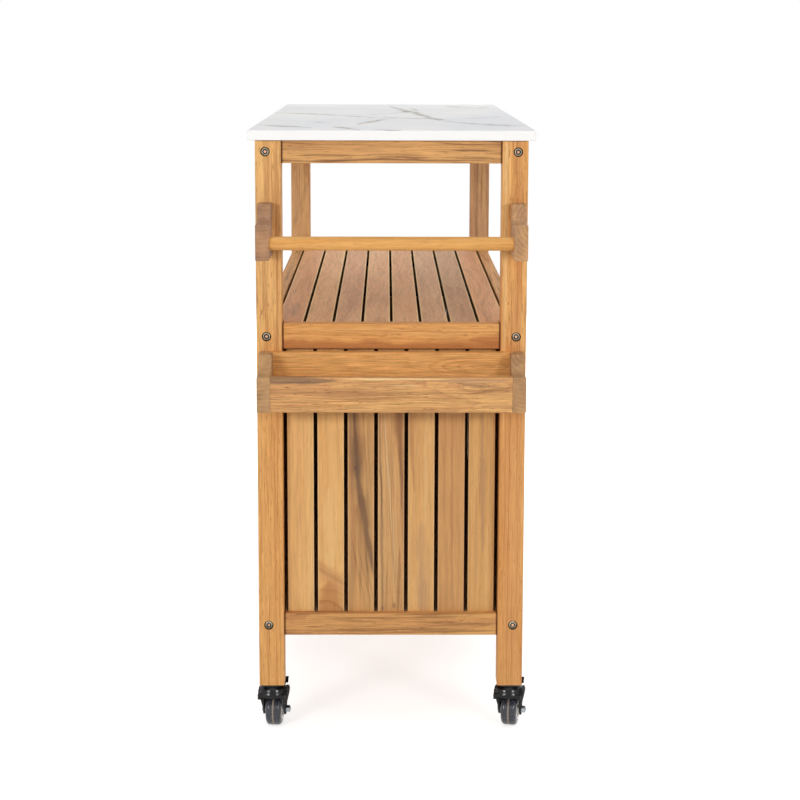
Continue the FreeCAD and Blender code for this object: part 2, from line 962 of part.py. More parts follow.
def make_pedal():
    pivot = pedal_pivot()
    half = fork_inner() - pedal_room
    hub = rod(pedal_hub_diameter, 2 * half, pivot - axis_x * half, axis_x)
    lower_end = pivot + FreeCAD.Vector(0, pedal_lower_reach, -pedal_lower_drop)
    upper_end = pivot + FreeCAD.Vector(0, pedal_upper_reach, pedal_upper_rise)
    fork_room = block((-pedal_width, pedal_width), (0, arm_rear + pedal_setback), (0, caster_height))
    between_arms = block((-half, half), (0, 2 * arm_rear), (0, caster_height))
    pieces = [hub]
    for end, width in ((lower_end, pedal_width), (upper_end, pedal_upper_width)):
        plate = pedal_plate(pivot, end, width)
        pieces += [plate.cut(fork_room), plate.common(between_arms)]
    to_axle = axle_centre() - pivot
    angle = math.atan2(to_axle.z, to_axle.y) + math.radians(shoe_angle + pedal_travel)
    tip = pivot + FreeCAD.Vector(0, math.cos(angle), math.sin(angle)) * (shoe_reach - shoe_radius)
    pieces.append(rod(2 * shoe_radius, shoe_width, tip - axis_x * shoe_width / 2, axis_x))
    bore_start = pivot - axis_x * pedal_width
    bore = rod(pedal_pin_diameter + 2 * pin_clearance, 2 * pedal_width, bore_start, axis_x)
    return pieces[0].fuse(pieces[1:]).removeSplitter().cut(bore)


def caster_places():
    x = half_width - post_size / 2
    near = near_y + post_size / 2
    far = far_y - post_size / 2
    corners = {"near": near, "far": far}
    sides = {"left": -x, "right": x}
    return {
        end + "_" + side: FreeCAD.Vector(sides[side], corners[end], 0)
        for end in corners
        for side in sides
    }


def stood(shape, place):
    turn = FreeCAD.Rotation(axis_z, -caster_angles[place])
    copy = shape.copy()
    copy.Placement = FreeCAD.Placement(caster_places()[place], turn)
    return copy


# Assembly

nodes = {"countertop": make_countertop()}

for end_name in ("near", "far"):
    right_post = make_post(end_name == "near")
    if end_name == "far":
        right_post = mirrored_y(right_post)
    nodes[end_name + "_right_post"] = right_post
    nodes[end_name + "_left_post"] = mirrored_x(right_post)

for level_name in rail_levels:
    end_rail = make_end_rail(level_name)
    nodes["near_" + level_name + "_rail"] = end_rail
    nodes["far_" + level_name + "_rail"] = mirrored_y(end_rail)
    nodes["right_" + level_name + "_rail"] = make_side_rail(level_name, False)
    nodes["left_" + level_name + "_rail"] = mirrored_x(make_side_rail(level_name, True))

nodes["end_panel_slats"] = make_end_slats()
nodes["back_panel_boards"] = make_back_boards()
nodes["shelf_slats"] = make_deck(shelf_top, deck_slat_gap)
nodes["cabinet_floor_slats"] = make_deck(cabinet_floor_top, board_gap)
nodes["slat_battens"] = make_battens()
nodes["frame_bolts_and_nuts"] = make_frame_bolts()
nodes["towel_brackets"] = make_towel_brackets()
nodes["towel_bar"] = make_towel_bar()
nodes["rack_sides"] = make_rack_sides()
nodes["rack_front"] = make_rack_front()
nodes["rack_back"] = rack_back_block(0)
nodes["rack_floor"] = rack_floor_block(0)
nodes["bracket_screws"] = make_bracket_screws()
nodes["post_hinges_and_catch"] = make_fixed_hinges_and_catch()

door_pieces = {
    "frame": make_door_frame(),
    "boards": make_door_boards(),
    "knob": make_knob(),
    "hinges_and_strike": make_door_hinges_and_strike(),
}
for piece_name, near_piece in door_pieces.items():
    nodes["near_door_" + piece_name] = near_piece
    nodes["far_door_" + piece_name] = mirrored_y(near_piece)

nodes["caster_stems"] = Part.makeCompound([stood(make_stem(), place) for place in caster_angles])
caster_pieces = {
    "fork": make_fork(),
    "axle": make_axle(),
    "hub": make_hub(),
    "tyre": make_tyre(),
    "brake_pedal": make_pedal(),
}
for place_name in caster_angles:
    for piece_name, caster_piece in caster_pieces.items():
        nodes[place_name + "_" + piece_name] = stood(caster_piece, place_name)

os.makedirs("parts", exist_ok=True)
for node_name, node_shape in nodes.items():
    node_shape.exportStep("parts/" + node_name + ".step")
print(len(nodes), "nodes written")
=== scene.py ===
import bpy
import json
import math
from mathutils import Matrix, Vector


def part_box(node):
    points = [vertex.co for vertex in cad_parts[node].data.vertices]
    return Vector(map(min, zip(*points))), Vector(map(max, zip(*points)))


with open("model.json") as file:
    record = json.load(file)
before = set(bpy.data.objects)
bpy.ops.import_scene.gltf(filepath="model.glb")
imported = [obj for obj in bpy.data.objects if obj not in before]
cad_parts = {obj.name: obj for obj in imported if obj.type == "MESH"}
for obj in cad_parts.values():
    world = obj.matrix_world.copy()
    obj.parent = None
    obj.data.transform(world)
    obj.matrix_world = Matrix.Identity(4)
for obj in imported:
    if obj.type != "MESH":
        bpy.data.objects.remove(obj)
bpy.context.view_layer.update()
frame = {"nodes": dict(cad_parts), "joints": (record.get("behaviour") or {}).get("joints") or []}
cartNodes = frame["nodes"]
cartJoints = {joint["name"]: joint for joint in frame["joints"]}
milli = 0.001
print("frame loaded:", len(cartNodes), "pieces")


# node tree helpers
def joinUp(tree, socket, value):
    if isinstance(value, bpy.types.NodeSocket):
        tree.links.new(value, socket)
    else:
        socket.default_value = value


def addNode(tree, kind, *values):
    node = tree.nodes.new("ShaderNode" + kind)
    for socket, value in zip(node.inputs, values):
        joinUp(tree, socket, value)
    return node


def calc(tree, operation, *values):
    node = addNode(tree, "Math", *values)
    node.operation = operation
    return node.outputs[0]


def addScaled(tree, base, value, factor):
    return calc(tree, "ADD", base, calc(tree, "MULTIPLY", value, factor))


def vectorCalc(tree, operation, *values):
    node = addNode(tree, "VectorMath", *values)
    node.operation = operation
    return node.outputs["Value" if operation == "LENGTH" else "Vector"]


def noise(tree, place, stretch, detail=2.0, roughness=0.5):
    node = addNode(tree, "TexNoise", vectorCalc(tree, "MULTIPLY", place, stretch))
    node.inputs["Scale"].default_value = 1.0
    node.inputs["Detail"].default_value = detail
    node.inputs["Roughness"].default_value = roughness
    return node.outputs[0]


def remap(tree, value, fromLow, fromHigh, toLow=0.0, toHigh=1.0, shape="SMOOTHSTEP"):
    node = addNode(tree, "MapRange", value, fromLow, fromHigh, toLow, toHigh)
    node.interpolation_type = shape
    return node.outputs[0]


def mixColor(tree, factor, first, second, blend="MIX"):
    node = addNode(tree, "Mix")
    node.data_type = "RGBA"
    node.blend_type = blend
    for index, value in ((0, factor), (6, first), (7, second)):  # the colour sockets
        joinUp(tree, node.inputs[index], value)
    return node.outputs[2]


def tintBy(tree, color, tint):
    return mixColor(tree, 1.0, color, tint, "MULTIPLY")


def splitXyz(tree, vector):
    return list(addNode(tree, "SeparateXYZ", vector).outputs)


def joinXyz(tree, *values):
    return addNode(tree, "CombineXYZ", *values).outputs[0]


def randomColor(tree, seed):
    node = addNode(tree, "TexWhiteNoise")
    node.noise_dimensions = "1D"
    joinUp(tree, node.inputs["W"], seed)
    return node.outputs["Color"]


def newGroup(name, inputs, outputs):
    group = bpy.data.node_groups.new(name, "ShaderNodeTree")
    kinds = {"vector": "NodeSocketVector", "float": "NodeSocketFloat", "color": "NodeSocketColor"}
    for side, sockets in (("INPUT", inputs), ("OUTPUT", outputs)):
        for kind, labels in sockets:
            for label in labels.split():
                group.interface.new_socket(label, in_out=side, socket_type=kinds[kind])
    given = group.nodes.new("NodeGroupInput").outputs
    result = group.nodes.new("NodeGroupOutput").inputs
    return group, given, result


def placeGroup(tree, group, **values):
    node = addNode(tree, "Group")
    node.node_tree = group
    for label, value in values.items():
        joinUp(tree, node.inputs[label], value)
    return node.outputs


def newMaterial(name):
    material = bpy.data.materials.new(name)
    material.use_nodes = True
    tree = material.node_tree
    coords = addNode(tree, "TexCoord").outputs
    return material, tree, tree.nodes["Principled BSDF"], coords


def bumpUp(tree, shader, height, strength, distance):
    node = addNode(tree, "Bump")
    node.inputs["Strength"].default_value = strength
    node.inputs["Distance"].default_value = distance
    joinUp(tree, node.inputs["Height"], height)
    tree.links.new(node.outputs["Normal"], shader.inputs["Normal"])


def srgb(red, green, blue):
    def straight(level):
        level /= 255
        return level / 12.92 if level <= 0.04045 else ((level + 0.055) / 1.055) ** 2.4
    return (straight(red), straight(green), straight(blue), 1.0)


# board coordinates: u across the board, v through it, w along the grain
cellLook = {"seedStep": 1.618}


def makeBoardCells():
    group, given, result = newGroup(
        "boardCells",
        [("vector", "Place"), ("float", "Start Pitch Middle Base")],
        [("vector", "Board"), ("float", "Index Seed")],
    )
    u, v, w = splitXyz(group, given["Place"])
    along = calc(group, "SUBTRACT", u, given["Start"])
    index = calc(group, "FLOOR", calc(group, "DIVIDE", along, given["Pitch"]))
    centre = calc(group, "MULTIPLY", calc(group, "ADD", index, 0.5), given["Pitch"])
    across = calc(group, "SUBTRACT", along, centre)
    board = joinXyz(group, across, calc(group, "SUBTRACT", v, given["Middle"]), w)
    seed = addScaled(group, given["Base"], index, cellLook["seedStep"])
    for label, value in (("Board", board), ("Index", index), ("Seed", seed)):
        joinUp(group, result[label], value)
    return group


# a slanted, frayed band: heartwood streaks in the boards, veins in the stone
streakLook = {
    "jagged": (3.0, 0.55), "slower": 0.8, "swell": (0.3, 0.7, 0.45, 1.3), "tip": 0.35, "least": 0.001,
}


def makeSlantedStreak():
    group, given, result = newGroup(
        "slantedStreak",
        [("vector", "Place"), ("float", "U W Lean Bow Width Length Fray Ripple Soft")],
        [("float", "Mask")],
    )
    u, v, w = splitXyz(group, given["Place"])
    down = calc(group, "SUBTRACT", w, given["W"])
    flat = joinXyz(group, u, 0.0, w)
    ripple = joinXyz(group, given["Ripple"], given["Ripple"], given["Ripple"])
    shake = calc(group, "SUBTRACT", noise(group, flat, ripple, *streakLook["jagged"]), 0.5)
    slope = addScaled(group, given["Lean"], given["Bow"], down)
    line = addScaled(group, addScaled(group, given["U"], slope, down), shake, given["Fray"])
    share = calc(group, "DIVIDE", down, given["Length"])
    taper = calc(group, "SUBTRACT", 1.0, calc(group, "MULTIPLY", share, share))
    taper = calc(group, "MAXIMUM", taper, streakLook["least"])
    slower = vectorCalc(group, "MULTIPLY", ripple, [streakLook["slower"]] * 3)
    swell = remap(group, noise(group, flat, slower), *streakLook["swell"], "LINEAR")
    half = calc(group, "MULTIPLY", given["Width"], swell)
    away = calc(group, "ABSOLUTE", calc(group, "SUBTRACT", u, line))
    away = calc(group, "DIVIDE", away, calc(group, "MULTIPLY", half, taper))
    tip = remap(group, taper, 0.0, streakLook["tip"])
    mask = calc(group, "MULTIPLY", remap(group, away, 1.0, given["Soft"]), tip)
    joinUp(group, result["Mask"], mask)
    return group


# a knot: a dark core, rings round it, and a bulge that bends the board's own growth rings
knotLook = {
    "ragged": (160.0, 160.0, 110.0), "core": (1.25, 0.7), "spread": -0.11, "turns": 1.3, "shake": 0.25,
    "sharp": 4.0, "clear": 0.4, "push": 3.0,
}


def makeKnotMark():
    group, given, result = newGroup(
        "knotMark",
        [("vector", "Place"), ("float", "U W Size Tall Reach")],
        [("float", "Core Bulge Rings")],
    )
    u, v, w = splitXyz(group, given["Place"])
    across = calc(group, "SUBTRACT", u, given["U"])
    along = calc(group, "DIVIDE", calc(group, "SUBTRACT", w, given["W"]), given["Tall"])
    ring = vectorCalc(group, "LENGTH", joinXyz(group, across, along, 0.0))
    ragged = noise(group, given["Place"], knotLook["ragged"])
    share = calc(group, "DIVIDE", ring, given["Size"])
    core = remap(group, calc(group, "ADD", share, ragged), *knotLook["core"])
    square = calc(group, "MULTIPLY", share, share)
    bell = calc(group, "EXPONENT", calc(group, "MULTIPLY", square, knotLook["spread"]))
    shake = calc(group, "MULTIPLY", ragged, knotLook["shake"])
    turn = addScaled(group, shake, share, knotLook["turns"])
    bands = calc(group, "POWER", calc(group, "FRACT", turn), knotLook["sharp"])
    clear = calc(group, "MULTIPLY", given["Reach"], knotLook["clear"])
    rings = calc(group, "MULTIPLY", bands, remap(group, share, given["Reach"], clear))
    bulge = calc(group, "MULTIPLY", bell, calc(group, "MULTIPLY", given["Size"], knotLook["push"]))
    for label, value in (("Core", core), ("Bulge", bulge), ("Rings", rings)):
        joinUp(group, result[label], value)
    return group


# growth rings, colour zones, dark streaks, grain lines, fibres and pores of an acacia board
grainScales = {  # across and along the grain, then detail and roughness
    "swing": (7.0, 3.2, 1.5), "wobble": (60.0, 12.0), "uneven": (45.0, 6.0), "patchy": (18.0, 3.0),
    "zone": (34.0, 1.6), "streak": (62.0, 2.4, 3.0, 0.6), "line": (205.0, 6.5, 3.0, 0.62),
    "fibre": (640.0, 26.0, 2.0, 0.6), "pore": (620.0, 70.0, 1.0), "blotch": (70.0, 40.0),
}
grainEdges = {  # where a mask starts and is full, and what it then gives
    "patchy": (0.35, 0.65, 0.3, 1.0), "zone": (0.36, 0.64), "streak": (0.5, 0.66),
    "line": (0.47, 0.66), "pore": (0.62, 0.74), "blotch": (0.35, 0.7),
}
ringLook = {
    "seedShift": (13.1, 7.7, 3.3), "wobble": 0.003, "pithSpread": 0.03, "pithDeep": 0.04, "pithNear": 0.012,
    "drift": 0.08, "uneven": 0.9, "sharp": 2.5,
}
toneLook = {
    "zone": 0.6, "ring": 0.55, "streakRing": 0.4, "streakBase": 0.6, "endRing": 0.45, "endBase": 0.14,
    "deepest": 0.92, "soot": (0.55, 0.5, 0.46, 1.0), "cutEnd": (0.9, 0.88, 0.86, 1.0),
    "fibre": (0.3, 0.72, -0.2, 0.12), "endLines": 0.3, "endFibre": 0.4,
}
polishLook = {"base": 0.46, "pore": 0.16, "fibre": 0.14, "ends": 0.14}
reliefLook = {"fibre": 0.5, "pore": -0.7, "ring": 0.25}


def grain(tree, place, key):
    across, along, *finer = grainScales[key]
    level = noise(tree, place, (across, across, along), *finer)
    return remap(tree, level, *grainEdges[key]) if key in grainEdges else level


def makeAcaciaFigure():
    group, given, result = newGroup(
        "acaciaFigure",
        [("vector", "Board"), ("color", "Pale Warm Dark"),
         ("float", "Seed Bulge Streaks Lines Spacing Cone Sway Fibre Pores Ends")],
        [("color", "Color"), ("float", "Roughness Height")],
    )
    seed = given["Seed"]
    shift = joinXyz(group, *[calc(group, "MULTIPLY", seed, step) for step in ringLook["seedShift"]])
    place = vectorCalc(group, "ADD", given["Board"], shift)
    u, v, w = splitXyz(group, given["Board"])
    sides = calc(group, "SUBTRACT", 1.0, given["Ends"])
    swing = calc(group, "SUBTRACT", grain(group, place, "swing"), 0.5)
    wobble = calc(group, "SUBTRACT", grain(group, place, "wobble"), 0.5)
    bent = addScaled(group, u, swing, given["Sway"])
    bent = addScaled(group, bent, wobble, ringLook["wobble"])
    chance = splitXyz(group, randomColor(group, seed))
    pithU = calc(group, "MULTIPLY", calc(group, "SUBTRACT", chance[0], 0.5), ringLook["pithSpread"])
    pithV = addScaled(group, ringLook["pithNear"], chance[1], ringLook["pithDeep"])
    drift = calc(group, "MULTIPLY", calc(group, "SUBTRACT", chance[2], 0.5), ringLook["drift"])
    offU = calc(group, "SUBTRACT", bent, pithU)
    offU = calc(group, "SUBTRACT", offU, calc(group, "MULTIPLY", drift, w))
    offV = calc(group, "SUBTRACT", v, pithV)
    radius = vectorCalc(group, "LENGTH", joinXyz(group, offU, offV, 0.0))
    radius = calc(group, "ADD", radius, given["Bulge"])
    radius = addScaled(group, radius, w, given["Cone"])
    phase = calc(group, "DIVIDE", radius, given["Spacing"])
    phase = addScaled(group, phase, grain(group, place, "uneven"), ringLook["uneven"])
    ring = calc(group, "POWER", calc(group, "FRACT", phase), ringLook["sharp"])
    ring = calc(group, "MULTIPLY", ring, grain(group, place, "patchy"))
    band = vectorCalc(group, "ADD", joinXyz(group, bent, v, w), shift)
    heart = calc(group, "MULTIPLY", grain(group, band, "streak"), given["Streaks"])
    line = calc(group, "MULTIPLY", grain(group, band, "line"), given["Lines"])
    fewer = remap(group, given["Ends"], 0.0, 1.0, 1.0, toneLook["endLines"])
    line = calc(group, "MULTIPLY", line, fewer)
    fibre = grain(group, place, "fibre")
    pore = grain(group, place, "pore")
    fade = calc(group, "MULTIPLY", grain(group, band, "zone"), toneLook["zone"])
    fade = addScaled(group, fade, ring, toneLook["ring"])
    color = mixColor(group, calc(group, "MINIMUM", fade, 1.0), given["Pale"], given["Warm"])
    deep = addScaled(group, toneLook["streakBase"], ring, toneLook["streakRing"])
    deep = calc(group, "MULTIPLY", heart, deep)
    endRing = addScaled(group, toneLook["endBase"], ring, toneLook["endRing"])
    endRing = calc(group, "MULTIPLY", endRing, grain(group, place, "blotch"))
    endRing = calc(group, "MULTIPLY", endRing, given["Ends"])
    deep = calc(group, "MAXIMUM", calc(group, "MAXIMUM", deep, line), endRing)
    color = mixColor(group, calc(group, "MINIMUM", deep, toneLook["deepest"]), color, given["Dark"])
    plainer = remap(group, given["Ends"], 0.0, 1.0, 1.0, toneLook["endFibre"])
    contrast = calc(group, "MULTIPLY", given["Fibre"], plainer)
    shade = addScaled(group, 1.0, remap(group, fibre, *toneLook["fibre"], "LINEAR"), contrast)
    color = tintBy(group, color, shade)
    soot = tintBy(group, given["Dark"], toneLook["soot"])
    speck = calc(group, "MULTIPLY", calc(group, "MULTIPLY", pore, given["Pores"]), sides)
    color = mixColor(group, speck, color, soot)
    cutEnd = tintBy(group, color, toneLook["cutEnd"])
    color = mixColor(group, given["Ends"], color, cutEnd)
    rough = polishLook["base"]
    for key, value in (("pore", pore), ("fibre", fibre), ("ends", given["Ends"])):
        rough = addScaled(group, rough, value, polishLook[key])
    height = calc(group, "MULTIPLY", fibre, reliefLook["fibre"])
    height = addScaled(group, height, pore, reliefLook["pore"])
    height = addScaled(group, height, ring, reliefLook["ring"])
    for label, value in (("Color", color), ("Roughness", rough), ("Height", height)):
        joinUp(group, result[label], value)
    return group


# fine speckle for moulded, plated and painted surfaces
speckleLook = {
    "fine": (3.0, 0.6), "fleck": (0.45, 0.75), "cloud": (38.0, 38.0, 38.0), "shade": (0.3, 0.7, 0.86, 1.1),
    "uneven": 0.16, "dull": 0.2,
}


def makeSurfaceGrain():
    group, given, result = newGroup(
        "surfaceGrain",
        [("vector", "Place"), ("color", "Base Fleck"), ("float", "Amount Size Gloss")],
        [("color", "Color"), ("float", "Roughness Height")],
    )
    scale = joinXyz(group, *[calc(group, "DIVIDE", 1.0, given["Size"])] * 3)
    fine = noise(group, given["Place"], scale, *speckleLook["fine"])
    broad = noise(group, given["Place"], speckleLook["cloud"])
    mask = calc(group, "MULTIPLY", remap(group, fine, *speckleLook["fleck"]), given["Amount"])
    color = mixColor(group, mask, given["Base"], given["Fleck"])
    shade = remap(group, broad, *speckleLook["shade"], "LINEAR")
    color = tintBy(group, color, shade)
    uneven = calc(group, "SUBTRACT", broad, 0.5)
    rough = addScaled(group, given["Gloss"], uneven, speckleLook["uneven"])
    rough = addScaled(group, rough, mask, speckleLook["dull"])
    for label, value in (("Color", color), ("Roughness", rough), ("Height", fine)):
        joinUp(group, result[label], value)
    return group


boardCells = makeBoardCells()
slantedStreak = makeSlantedStreak()
knotMark = makeKnotMark()
acaciaFigure = makeAcaciaFigure()
surfaceGrain = makeSurfaceGrain()
print("shader groups built")

# tones of the oiled boards, named as a joiner would
tones = {
    "cream": srgb(240, 206, 150),
    "straw": srgb(229, 181, 119),
    "honey": srgb(222, 168, 106),
    "amber": srgb(211, 150, 86),
    "biscuit": srgb(212, 166, 122),
    "clay": srgb(190, 134, 88),
    "russet": srgb(160, 96, 54),
    "umber": srgb(122, 80, 52),
    "smoke": srgb(108, 84, 68),
    "plum": srgb(88, 66, 60),
    "slate": srgb(126, 104, 98),
    # pitch: the near-black brown used for painted shade at the rail ends and under the stone slab
    "pitch": srgb(84, 44, 22),
    "driftwood": srgb(176, 138, 108),
    # shell and blush are lighter than the wood's own tone: painted light for the shelf under the stone top
    "shell": srgb(230, 184, 140),
    "blush": srgb(220, 168, 126),
}


# marks on a board, in millimetres: place across and along it, half width and half length
def streak(u, w, wide, long, tone, depth, lean=0.0, bow=0.0, fray=4.0, soft=0.15, ripple=22.0):
    sockets = {"U": u * milli, "W": w * milli, "Width": wide * milli, "Length": long * milli,
               "Lean": lean, "Bow": bow, "Fray": fray * milli, "Soft": soft, "Ripple": ripple}
    return {"group": slantedStreak, "sockets": sockets, "tone": tone, "depths": {"Mask": depth}}


def knot(u, w, size, tone, depth, tall=1.6, reach=4.0, rings=0.4):
    sockets = {"U": u * milli, "W": w * milli, "Size": size * milli, "Tall": tall, "Reach": reach}
    depths = {"Core": depth, "Rings": rings}
    return {"group": knotMark, "sockets": sockets, "tone": tone, "depths": depths}


def boardRamp(tree, index, colors):
    count = len(colors)
    ramp = addNode(tree, "ValToRGB")
    ramp.color_ramp.interpolation = "CONSTANT"
    stops = ramp.color_ramp.elements
    for step, color in enumerate(colors):
        stop = stops[step] if step < 2 else stops.new(step / count)  # a new ramp has two
        stop.position = step / count
        stop.color = color
    middle = calc(tree, "DIVIDE", calc(tree, "ADD", index, 0.5), float(count))
    tree.links.new(middle, ramp.inputs[0])
    return ramp.outputs[0]


# painted highlights along the arrises, painted shade at the rail ends where they meet the posts, and the
# relief of every board
boardLook = {
    "arris": 2.5 * milli, "arrisDepth": 0.5, "seam": (3.4 * milli, 1.2 * milli), "seamDepth": 0.9,
    "soak": 0.3, "brightest": 1.03, "cone": 0.03, "sheen": 0.22, "bump": 0.2, "bumpDepth": 0.0005,
    "cutEnd": (0.75, 0.95), "side": (0.7, 0.95), "dimSeed": 0.37,
}


def acaciaMaterial(name, axes, look, seed):
    material, tree, shader, coords = newMaterial(name)
    order = ["xyz".index(letter) for letter in axes]
    position = splitXyz(tree, coords["Object"])
    facing = splitXyz(tree, coords["Normal"])
    place = joinXyz(tree, *[position[i] for i in order])
    ends = remap(tree, calc(tree, "ABSOLUTE", facing[order[2]]), *boardLook["cutEnd"])
    cells = placeGroup(tree, boardCells, Place=place, Start=look["start"], Pitch=look["pitch"],
                       Middle=look["middle"], Base=seed)
    if "streakBoards" in look:
        levels = [(level, level, level, 1.0) for level in look["streakBoards"]]
        streaks = boardRamp(tree, cells["Index"], levels)
    else:
        streaks = look["streaks"]
    bulge = 0.0
    stains = []
    for mark in look.get("marks", ()):
        masks = placeGroup(tree, mark["group"], Place=place, **mark["sockets"])
        board = math.floor((mark["sockets"]["U"] - look["start"]) / look["pitch"])
        own = calc(tree, "COMPARE", cells["Index"], float(board), 0.5)  # it stays on its board
        if mark["group"] is knotMark:
            bulge = addScaled(tree, bulge, masks["Bulge"], own)
        for label, depth in mark["depths"].items():
            stains.append((calc(tree, "MULTIPLY", masks[label], own), depth, mark["tone"]))
    figure = placeGroup(tree, acaciaFigure, Board=cells["Board"], Seed=cells["Seed"], Bulge=bulge,
                        Pale=tones[look["pale"]], Warm=tones[look["warm"]],
                        Dark=tones[look["dark"]], Streaks=streaks, Lines=look["lines"],
                        Spacing=look["spacing"], Cone=look.get("cone", boardLook["cone"]),
                        Sway=look["sway"], Fibre=look["fibre"], Pores=look["pores"], Ends=ends)
    color = figure["Color"]
    for mask, depth, tone in stains:
        reach = calc(tree, "MULTIPLY", mask, depth)
        color = mixColor(tree, reach, color, mixColor(tree, boardLook["soak"], tones[tone], color))
    # painted highlight: the board edges are mixed toward cream, standing in for the rounded arrises
    # catching light
    if "arris" in look:
        across = calc(tree, "ABSOLUTE", splitXyz(tree, cells["Board"])[0])
        edge = remap(tree, across, look["arris"] - boardLook["arris"], look["arris"])
        edgeHighlight = calc(tree, "MULTIPLY", edge, look.get("arrisDepth", boardLook["arrisDepth"]))
        color = mixColor(tree, edgeHighlight, color, tones["cream"])
    # painted shade: the side faces that look into the gaps between boards are darkened
    if "flank" in look:
        side = calc(tree, "ABSOLUTE", facing[order[0]])
        shade = remap(tree, side, *boardLook["side"], 1.0, look["flank"])
        color = tintBy(tree, color, shade)
    # painted shade: a dark line at each end of a rail, standing in for the shaded gap where it meets the
    # post
    if "joint" in look:
        along = calc(tree, "ABSOLUTE", splitXyz(tree, place)[2])
        seam = remap(tree, along, *[look["joint"] - inset for inset in boardLook["seam"]])
        seam = calc(tree, "MULTIPLY", seam, boardLook["seamDepth"])
        color = mixColor(tree, seam, color, tones["pitch"])
    if "tints" in look:
        tints = boardRamp(tree, cells["Index"], look["tints"])
        color = tintBy(tree, color, tints)
    else:
        dimSeed = calc(tree, "ADD", cells["Seed"], boardLook["dimSeed"])
        chance = splitXyz(tree, randomColor(tree, dimSeed))
        dim = remap(tree, chance[0], 0.0, 1.0, look["dim"], boardLook["brightest"], "LINEAR")
        color = tintBy(tree, color, dim)
    if "tint" in look:
        color = tintBy(tree, color, (*look["tint"], 1.0))
    tree.links.new(color, shader.inputs["Base Color"])
    tree.links.new(figure["Roughness"], shader.inputs["Roughness"])
    shader.inputs["Specular IOR Level"].default_value = look.get("sheen", boardLook["sheen"])
    bumpUp(tree, shader, figure["Height"], boardLook["bump"], boardLook["bumpDepth"])
    return material


def wear(node, *materials):
    slots = cartNodes[node].data.materials
    slots.clear()
    for material in materials:
        slots.append(material)


def pickSlots(node, pick):
    for face in cartNodes[node].data.polygons:
        face.material_index = int(pick(face))


def middleOf(node):
    low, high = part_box(node)
    return [(a + b) / 2 for a, b in zip(low, high)]


def boardMiddle(node, axes):
    centre = middleOf(node)
    return centre["xyz".index(axes[0])], centre["xyz".index(axes[1])]


# where each run of boards starts in the grain, and the step from board to board
grainSeeds = {
    "posts": (3.0, 2.3), "nearRails": (21.0, 3.7), "farRails": (31.0, 3.7), "sideRails": (41.0, 2.9),
    "doorBoards": (120.0, 20.0), "decks": (160.0, 15.0), "brackets": (200.0, 5.0), "rack": (220.0, 3.1),
    "stiles": (240.0, 7.0), "doorRails": (260.0, 7.0), "knobs": (270.0, 3.0),
    "nearSlats": (60.0, 0.0), "farBoards": (70.0, 0.0), "backBoards": (80.0, 0.0), "battens": (190.0, 0.0),
    "bar": (215.0, 0.0),
}
leftRailSeed = 1.3


def grainSeed(run, step=0):
    first, stride = grainSeeds[run]
    return first + stride * step


def singleBoard(node, axes, look, seed, *others):
    u, v = boardMiddle(node, axes)
    own = dict(look, start=u - 0.5, pitch=1.0, middle=v)  # one cell, wider than the board
    wear(node, acaciaMaterial(node + "_acacia", axes, own, seed), *others)


def deckBoards(node, look, seed):
    cells = dict(look, middle=boardMiddle(node, "xzy")[1])
    wear(node, acaciaMaterial(node + "_acacia", "xzy", cells, seed))


# metal, rubber and mouldings
partLooks = {
    # pale zinc, lightened past its own tone: partly a painted highlight
    "boltDome": {"base": srgb(255, 248, 220), "fleck": srgb(196, 176, 128), "amount": 0.8, "size": 0.003,
                 "gloss": 0.26, "metal": 0.25, "specular": 0.8, "bump": 0.03},
    # painted shade on the flat rim round the hex socket
    "boltRimShade": {"base": srgb(48, 40, 32), "fleck": srgb(70, 60, 46), "amount": 0.6, "size": 0.002,
                "gloss": 0.45, "metal": 0.7, "specular": 0.4, "bump": 0.03},
    # coppery zinc, its pale tone partly a painted reflection from the socket floor
    "boltSocket": {"base": srgb(226, 178, 154), "fleck": srgb(190, 134, 112), "amount": 0.7, "size": 0.002,
                   "gloss": 0.4, "metal": 0.6, "specular": 0.5, "bump": 0.03},
    "boreShade": {"base": srgb(92, 62, 40), "fleck": srgb(60, 42, 28), "amount": 0.6, "size": 0.001,
                  "gloss": 0.7, "specular": 0.1, "bump": 0.1},
    "hingeNickel": {"base": srgb(178, 174, 168), "fleck": srgb(150, 146, 140), "amount": 0.5, "size": 0.003,
                    "gloss": 0.34, "metal": 1.0, "specular": 0.5, "bump": 0.04},
    "silverNut": {"base": srgb(166, 172, 178), "fleck": srgb(120, 126, 134), "amount": 0.6, "size": 0.003,
                  "gloss": 0.24, "metal": 1.0, "specular": 0.5, "bump": 0.03},
    "blackFork": {"base": srgb(10, 10, 12), "fleck": srgb(26, 26, 30), "amount": 0.5, "size": 0.004,
                  "gloss": 0.17, "specular": 0.3, "bump": 0.6},
    "blackFlank": {"base": srgb(13, 13, 14), "fleck": srgb(24, 24, 26), "amount": 0.6, "size": 0.0015,
                   "gloss": 0.66, "specular": 0.08, "bump": 0.1},
    "blackPedal": {"base": srgb(13, 13, 15), "fleck": srgb(26, 26, 28), "amount": 0.6, "size": 0.0012,
                   "gloss": 0.3, "specular": 0.26, "bump": 0.1},
    "blackTyre": {"base": srgb(50, 51, 58), "fleck": srgb(98, 100, 110), "amount": 0.8, "size": 0.0016,
                  "gloss": 0.22, "specular": 0.45, "bump": 0.12},
    "tanSeam": {"base": srgb(164, 150, 134), "fleck": srgb(126, 112, 98), "amount": 0.8, "size": 0.0014,
                "gloss": 0.5, "specular": 0.3, "bump": 0.12},
    "creamHub": {"base": srgb(250, 247, 242), "fleck": srgb(240, 235, 228), "amount": 0.5, "size": 0.002,
                 "gloss": 0.36, "specular": 0.4, "bump": 0.05},
}
fittingRelief = 0.0004


